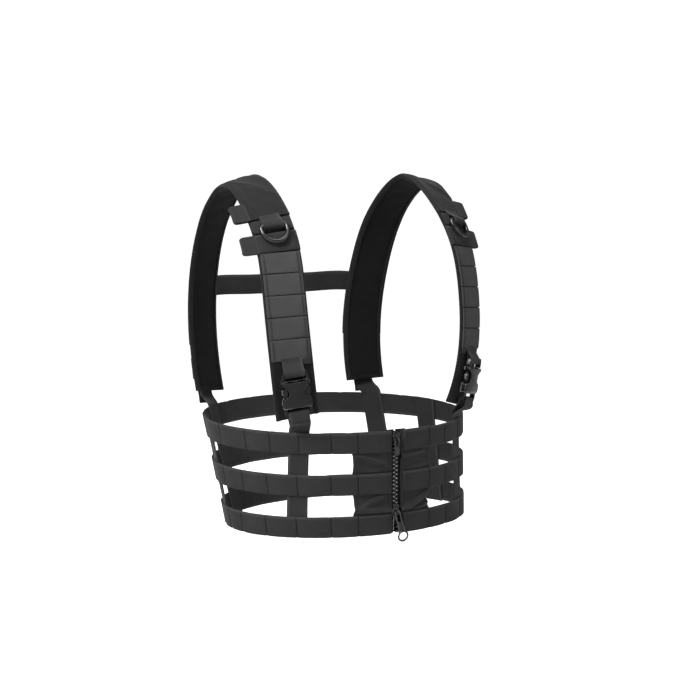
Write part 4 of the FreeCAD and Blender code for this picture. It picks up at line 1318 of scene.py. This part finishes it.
def build_female(side, flat):
    """The buckle's lower half: two waisted faces, side walls with windows, and a webbing bar."""
    builder = Builder()
    half = FEMALE_WIDTH / 2

    def crowned(across, out, along):
        drop = 1.7 * smooth((-FEMALE_THIN_FROM - 0.5 - along) / 4)
        crown = 0.5 * (1 - (across / half) ** 2)
        return flat(across, out + math.copysign(1, out) * (crown - drop), along)

    face = [(8, -0.9), (17.3, 0.1), (17.5, -3.6), (14.2, -5.4), (10.6, -8.8), (9.4, -13.0)]
    face += [(10.3, -16.8), (13.0, -18.8), (17.4, -21.0), (half, -28.5), (17.2, -32.8)]
    for sign in (1, -1):
        face_frame = shifted(crowned, sign * (FEMALE_THICK / 2 - 1.1))
        stamped(builder, [both_halves(face, 1.4)], 2.2, 0.55, face_frame)
        cheek = [(sign * 13.8, -0.1), (sign * 17.3, -0.1), (sign * 17.3, -3.7), (sign * 13.8, -4.4)]
        stamped(builder, [soft_outline(cheek[::sign], 0.5)], 6.6, 0.3, flat)
    walls = [(13.6, -20.4), (17.3, -21.9), (17.7, -31.6)]
    walls += mirrored(walls) + [(-13.6, -27), (13.6, -27)]
    stamped(builder, [soft_outline(walls, 0.5)], 6.6, 0.3, flat)
    bar = both_halves([(17.6, -30.0), (17.7, -39.5), (15.6, -FEMALE_LONG)], 2.0)
    slot = both_halves([(13.3, -33.5), (13.3, -38.6)], 0.9)
    stamped(builder, [bar, slot], 6.4, 1.0, flat)
    builder.settle(side, "buckle_plastic", [ACETAL], "{}_front", "buckle_shell_{}", "buckle_female_{}")


def build_male(side, flat):
    """The buckle's upper half: flared rails, a set-back bar, a lip at the mouth and a guide."""
    builder = Builder()
    for sign in (1, -1):
        rail = [(13.2, 12.3), (14.4, 12.3), (16.0, 8.6), (16.9, 3.4), (16.7, 0.3), (13.2, 0.3)]
        rail = [(sign * a, s) for a, s in rail][:: -sign]
        stamped(builder, [soft_outline(rail, 0.9)], 7.2, 1.0, flat)
    # Bars across, as half width, from and to along, corner, thickness, softness and set-back.
    for half, low, high, corner, thick, soft, out in (
        (14.2, 0.35, 1.3, 0.4, 6.8, 0.5, 0),
        (14.0, 5.3, 12.0, 0.9, 4.0, 0.8, -1.5),
        (3, -23.5, 1.0, 1.2, 5.2, 0.5, 0),
    ):
        bar = [(-half, low), (half, low), (half, high), (-half, high)]
        stamped(builder, [soft_outline(bar, corner)], thick, soft, shifted(flat, out))
    names = "buckle_frame_{}", "buckle_male_{}"
    builder.settle(side, "buckle_plastic", [ACETAL], "{}_buckle_male", *names)


def build_prongs(side, flat):
    """The two springy arms of the buckle, each with a ribbed shoulder to press."""
    for where, sign in (("outer", 1), ("inner", -1)):
        builder = Builder()
        arm = [(9.8, 0.6), (12.7, 0.6), (12.9, -4.6), (14.8, -6.4), (16.7, -9.6), (17.2, -13.2)]
        arm += [(16.8, -17.0), (15.6, -19.3), (12.6, -19.7), (12.2, -23.8), (9.8, -23.9)]
        arm = [(sign * a, s) for a, s in arm][:: -sign]
        stamped(builder, [soft_outline(arm, 1.2)], 5.3, 0.9, flat)
        for along in (-10.5, -12.5, -14.5):
            rib = [(16.2, -2.0), (17.25, 0), (16.2, 2.0)]
            wire(builder, [(sign * a, out, along) for a, out in rib], 0.4, flat, 8)
        names = f"{{}}_prong_{where}", f"buckle_arm_{where}_{{}}", f"prong_{where}_{{}}"
        builder.settle(side, "buckle_plastic", [ACETAL], *names)


def build_hardware():
    flat = flat_frame(MOUTH_AT, BUCKLE_STAND)
    for side in SIDES:
        build_female(side, flat)
        build_male(side, flat)
        build_prongs(side, flat)
        keep_cad(f"ladder_lock_{side}")
    keep_cad("cross_glide")


def build_cross_strap():
    """The webbing between the shoulder blades, sewn to the inner edges of both pads."""
    builder = Builder()
    inner = on_strap(CROSS_AT, -PAD_HALF + 8, 1.0)
    edge = on_strap(CROSS_AT, -PAD_HALF - 1, 1.0)
    half = [inner, edge, edge * (0.5, 1, 1) + (0, 3, 0)]
    path = Path(half + [edge * (0, 1, 1) + (0, 4, 0)] + [p * (-1, 1, 1) for p in half[::-1]])
    up = np.array([0, 0, 1.0])
    alongs = np.arange(0, path.length, 2.5)
    builder.skin([web_ring(path.point(along), up, path.tangent(along), along) for along in alongs])
    builder.settle("left", "webbing", SEWN_WEBBING, "back", "cross_strap_web", "cross_strap")


# ---------------------------------------------------------------- zip


def zip_apart(high):
    return ZIP_OPEN * smooth((ZIP_OPEN_BELOW - high) / 6)


def build_teeth(side):
    """Moulded teeth that lap past the middle in turn, with knobs coloured light grey as painted
    highlights, on a cord.
    """
    builder = Builder()
    first = TEETH_FROM + 1 + (TOOTH_PITCH / 2 if side == "right" else 0)
    half = [(-1.2, 0.7), (-0.7, 1.2), (1.7, 1.2), (2.2, 0.7), (4.5, 0.8)]
    profile = [(a, -b) for a, b in half[::-1]] + half
    for number in [*range(TEETH_COUNT), *range(-1, -6, -1)]:
        high = first + TOOTH_PITCH * number

        def placed(across, depth, up):
            return np.array([across + zip_apart(high), ZIP_FACE + depth, high + up])

        plate(builder, profile, -1.5, 1.5, placed, 0, 0.3)
        # The knob takes the third material, whose light grey is a painted highlight.
        plate(builder, arc(2.4, 0, 0.85, 0, 315, 45), -1.85, -1.2, placed, 2, 0.35)
    heights = np.linspace(1.2, BELT_HIGH - 0.5, 50)
    thread(builder, [(3.9 + zip_apart(high), ZIP_FACE, high) for high in heights], 0.95, sides=8)
    materials = [TEETH, ZIP_TAPE, GLINT_PAINTED_KNOBS]
    builder.settle(side, "zip_teeth", materials, "{}_front", "zip_teeth_{}_row", "zip_teeth_{}")


def build_tape(side):
    """The woven tape beside the teeth, sewn behind the panel's edge."""
    builder = Builder()
    rings = []
    for high in np.linspace(0.2, BELT_HIGH + 1.2, 60):
        front, back = [], []
        for x in np.linspace(1.35 + zip_apart(high), 17.0, 16):
            rise = 0.25 * math.exp(-(((x - zip_apart(high) - 4.2) / 0.9) ** 2))
            face = ZIP_FACE + 0.15 - rise
            front.append((np.array([x, face, high]), (high, x)))
            back.append((np.array([x, face + 0.7 + rise, high]), (high, x + 30)))
        rings.append(front + back[::-1])
    builder.skin(rings)
    builder.settle(side, "zip_tape", [ZIP_TAPE], "{}_front", "zip_tape_{}_web", "zip_tape_{}")


def build_slider(name, at, wide_end):
    """A cast slider: two waisted plates with curled sides, a post and an arched bridge."""
    builder = Builder()

    def flat(across, out, along):
        return np.array([across, ZIP_FACE - out, at + wide_end * along])

    def crowned(across, out, along):
        crown = 0.25 * (1 - (across / 6) ** 2)
        return flat(-wide_end * across, out + math.copysign(1, out) * crown, along)

    half = [(2.4, 7.0), (5.2, 6.3), (6.0, 3.2), (5.6, 0.0), (4.7, -3.0), (4.3, -6.2), (2.6, -7.0)]
    for sign in (1, -1):
        plate_frame = shifted(crowned, sign * (SLIDER_HALF_GAP + SLIDER_WALL / 2))
        stamped(builder, [both_halves(half, 1.6)], SLIDER_WALL, 0.45, plate_frame)
        for edge in (1, -1):
            lip = [(edge * (a - 0.4), sign * (SLIDER_HALF_GAP + 0.1), s) for a, s in half[1:6]]
            wire(builder, lip, 0.42, flat, 10)
    wire(builder, [(0, -2.6, 5.6), (0, 2.6, 5.6)], 1.3, flat)
    arch = [(-0.6, -4.25), (1.9, -4.25), (3.2, -3.6), (3.6, -1.8), (3.65, 0)]
    arch += [(out, -s) for out, s in arch[-2::-1]]
    wire(builder, [(0, SLIDER_HALF_GAP + SLIDER_WALL + out, s) for out, s in arch], 0.8, flat)
    builder.settle("left", "zip_metal", [ENAMEL], name, f"{name}_body", name)


def pull_frame(at, tilt=0, lean=0):
    """A flat frame that hangs from a slider's bridge, as place(across, out, along)."""
    pivot = np.array([0, ZIP_FACE - PULL_OUT, at - PULL_DROP])
    turn = mathutils.Matrix.Rotation(math.radians(-tilt), 3, "X")
    turn = np.array(turn @ mathutils.Matrix.Rotation(math.radians(-lean), 3, "Y"))

    def place(across, out, along):
        return pivot + turn @ np.array([across, -out, along])

    return place


def build_puller():
    """The long pull: two rails from a bar, a web between them and an oval eye."""
    builder = Builder()
    place = pull_frame(LOWER_SLIDER_AT, PULLER_TILT, PULLER_LEAN)
    rails = [(3.3, 0.2), (3.5, -5), (3.5, -12), (3.7, -18), (4.2, -24), (5.0, -28.6)]
    for sign in (1, -1):
        wire(builder, [(sign * a, 0, s) for a, s in rails], 0.95, place)
    wire(builder, [(-3.3, 0, 0), (3.3, 0, 0)], 0.9, place)
    web = [(3.4, -13.2), (3.7, -18), (4.2, -24), (4.6, -27.0)]
    stamped(builder, [both_halves(web, 0.8)], 1.1, 0.3, place, 1)
    eye_half_width, eye_half_high = 7.4, 5.5
    eye = arc(0, -32.2, eye_half_width, 0, 352, 8, eye_half_high / eye_half_width)
    closed_wire(builder, eye, 1.15, place)
    names = "lower_pull", "lower_pull_body", "lower_pull"
    builder.settle("left", "zip_metal", [POLISHED, ENAMEL], *names)


def build_tongue():
    """The short flat pull of the upper slider, with a raised U along its edge."""
    builder = Builder()
    place = pull_frame(UPPER_SLIDER_AT)
    half = [(4.2, 0.9), (4.5, -4), (4.3, -14), (3.4, -19.4), (1.6, -21.1)]
    window = both_halves([(2.3, -0.9), (2.3, -5.9)], 0.8)
    stamped(builder, [both_halves(half, 1.4), window], 1.5, 0.4, place)
    rim = [(3.4, 0.75, -7.0), (3.45, 0.75, -14), (2.8, 0.75, -18.6), (1.3, 0.75, -19.9)]
    wire(builder, rim + mirrored(rim), 0.45, place, 10)
    builder.settle("left", "zip_metal", [ENAMEL], "upper_pull", "upper_pull_body", "upper_pull")


# ---------------------------------------------------------------- room, light and camera


def sweep_of_paper():
    """A pale floor that curves up into a wall behind the vest, square to the camera."""
    half_wide, bend = 9, 1.6
    low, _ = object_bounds()
    floor_high = low[2] - 0.002
    profile = [(-6.0, 0.0)] + arc(3.0, bend, bend, -90, 0, 6) + [(4.6, 8.0)]
    turn = math.radians(CAMERA_AZIMUTH)
    points = []
    for depth, up in profile:
        for wide in (-half_wide, half_wide):
            x = wide * math.cos(turn) - depth * math.sin(turn)
            y = wide * math.sin(turn) + depth * math.cos(turn)
            points.append((x, y, floor_high + up))
    faces = [(i, i + 1, i + 3, i + 2) for i in range(0, len(points) - 2, 2)]
    mesh = bpy.data.meshes.new("floor")
    mesh.from_pydata(points, [], faces)
    mesh.polygons.foreach_set("use_smooth", [True] * len(faces))
    mesh.materials.append(paper())
    floor = bpy.data.objects.new("floor", mesh)
    bpy.context.scene.collection.objects.link(floor)


def paper():
    """White paper that glows a little to the camera, so that it stays pale."""
    nodes = Nodes("paper")
    tooth = nodes.noise(nodes.object_place(), 60.0)
    to_camera = nodes.new("ShaderNodeLightPath").outputs["Is Camera Ray"]
    return nodes.finish(
        Base_Color=nodes.mix(tooth, grey(0.80), grey(0.84)), Roughness=0.9,
        Emission_Color=WHITE, Emission_Strength=nodes.times(to_camera, PAPER_GLOW),
    )


def studio_air():
    """White all round to the camera, and a little of it as light."""
    world = bpy.data.worlds.new("studio_air")
    world.use_nodes = True
    tree = world.node_tree
    air = tree.nodes["Background"]
    air.inputs["Color"].default_value = WHITE
    rays = tree.nodes.new("ShaderNodeLightPath")
    strength = tree.nodes.new("ShaderNodeMapRange")
    strength.inputs["To Min"].default_value = AIR_LIGHT
    strength.inputs["To Max"].default_value = 1.0
    tree.links.new(rays.outputs["Is Camera Ray"], strength.inputs["Value"])
    tree.links.new(strength.outputs["Result"], air.inputs["Strength"])
    bpy.context.scene.world = world


def aim(name, data, azimuth, elevation, distance):
    """A light or camera round the vest's middle, looking at it."""
    thing = bpy.data.objects.new(name, data)
    bpy.context.scene.collection.objects.link(thing)
    turn, tilt = math.radians(azimuth), math.radians(elevation)
    level = math.cos(tilt)
    away = np.array([math.sin(turn) * level, -math.cos(turn) * level, math.sin(tilt)])
    thing.location = LOOK_AT + away * distance
    thing.rotation_mode = "QUATERNION"
    thing.rotation_quaternion = (-mathutils.Vector(away)).to_track_quat("-Z", "Y")
    return thing


def softbox(name, azimuth, elevation, distance, size, power):
    """A square area light that faces the vest from a direction given like the camera's."""
    data = bpy.data.lights.new(name, "AREA")
    data.size = size
    data.energy = power
    aim(name, data, azimuth, elevation, distance)


def photographer():
    data = bpy.data.cameras.new("camera")
    data.sensor_width = 36
    data.lens = CAMERA_LENS
    place = CAMERA_AZIMUTH, CAMERA_ELEVATION, CAMERA_DISTANCE
    bpy.context.scene.camera = aim("camera", data, *place)


def build():
    rng = random.Random(SEED)
    for side in SIDES:
        for index in range(len(ROW_NAMES)):
            build_row(index, side, rng)
        build_panel(side, rng)
        build_side_upright(side)
        build_front_upright(side)
        build_back_upright(side)
        build_teeth(side)
        build_tape(side)
        build_binding(side)
        build_cover(side, rng)
        build_pals(side, rng)
        build_loops(side)
        build_keeper(side)
        build_ring(side)
        build_male_web(side)
    build_pads()
    build_hardware()
    build_cross_strap()
    build_slider("lower_slider", LOWER_SLIDER_AT, -1)
    build_slider("upper_slider", UPPER_SLIDER_AT, 1)
    build_puller()
    build_tongue()
    sweep_of_paper()
    studio_air()
    for name, light in LIGHTS.items():
        softbox(name, *light)
    photographer()
    bpy.context.scene.view_settings.view_transform = "Standard"


build()
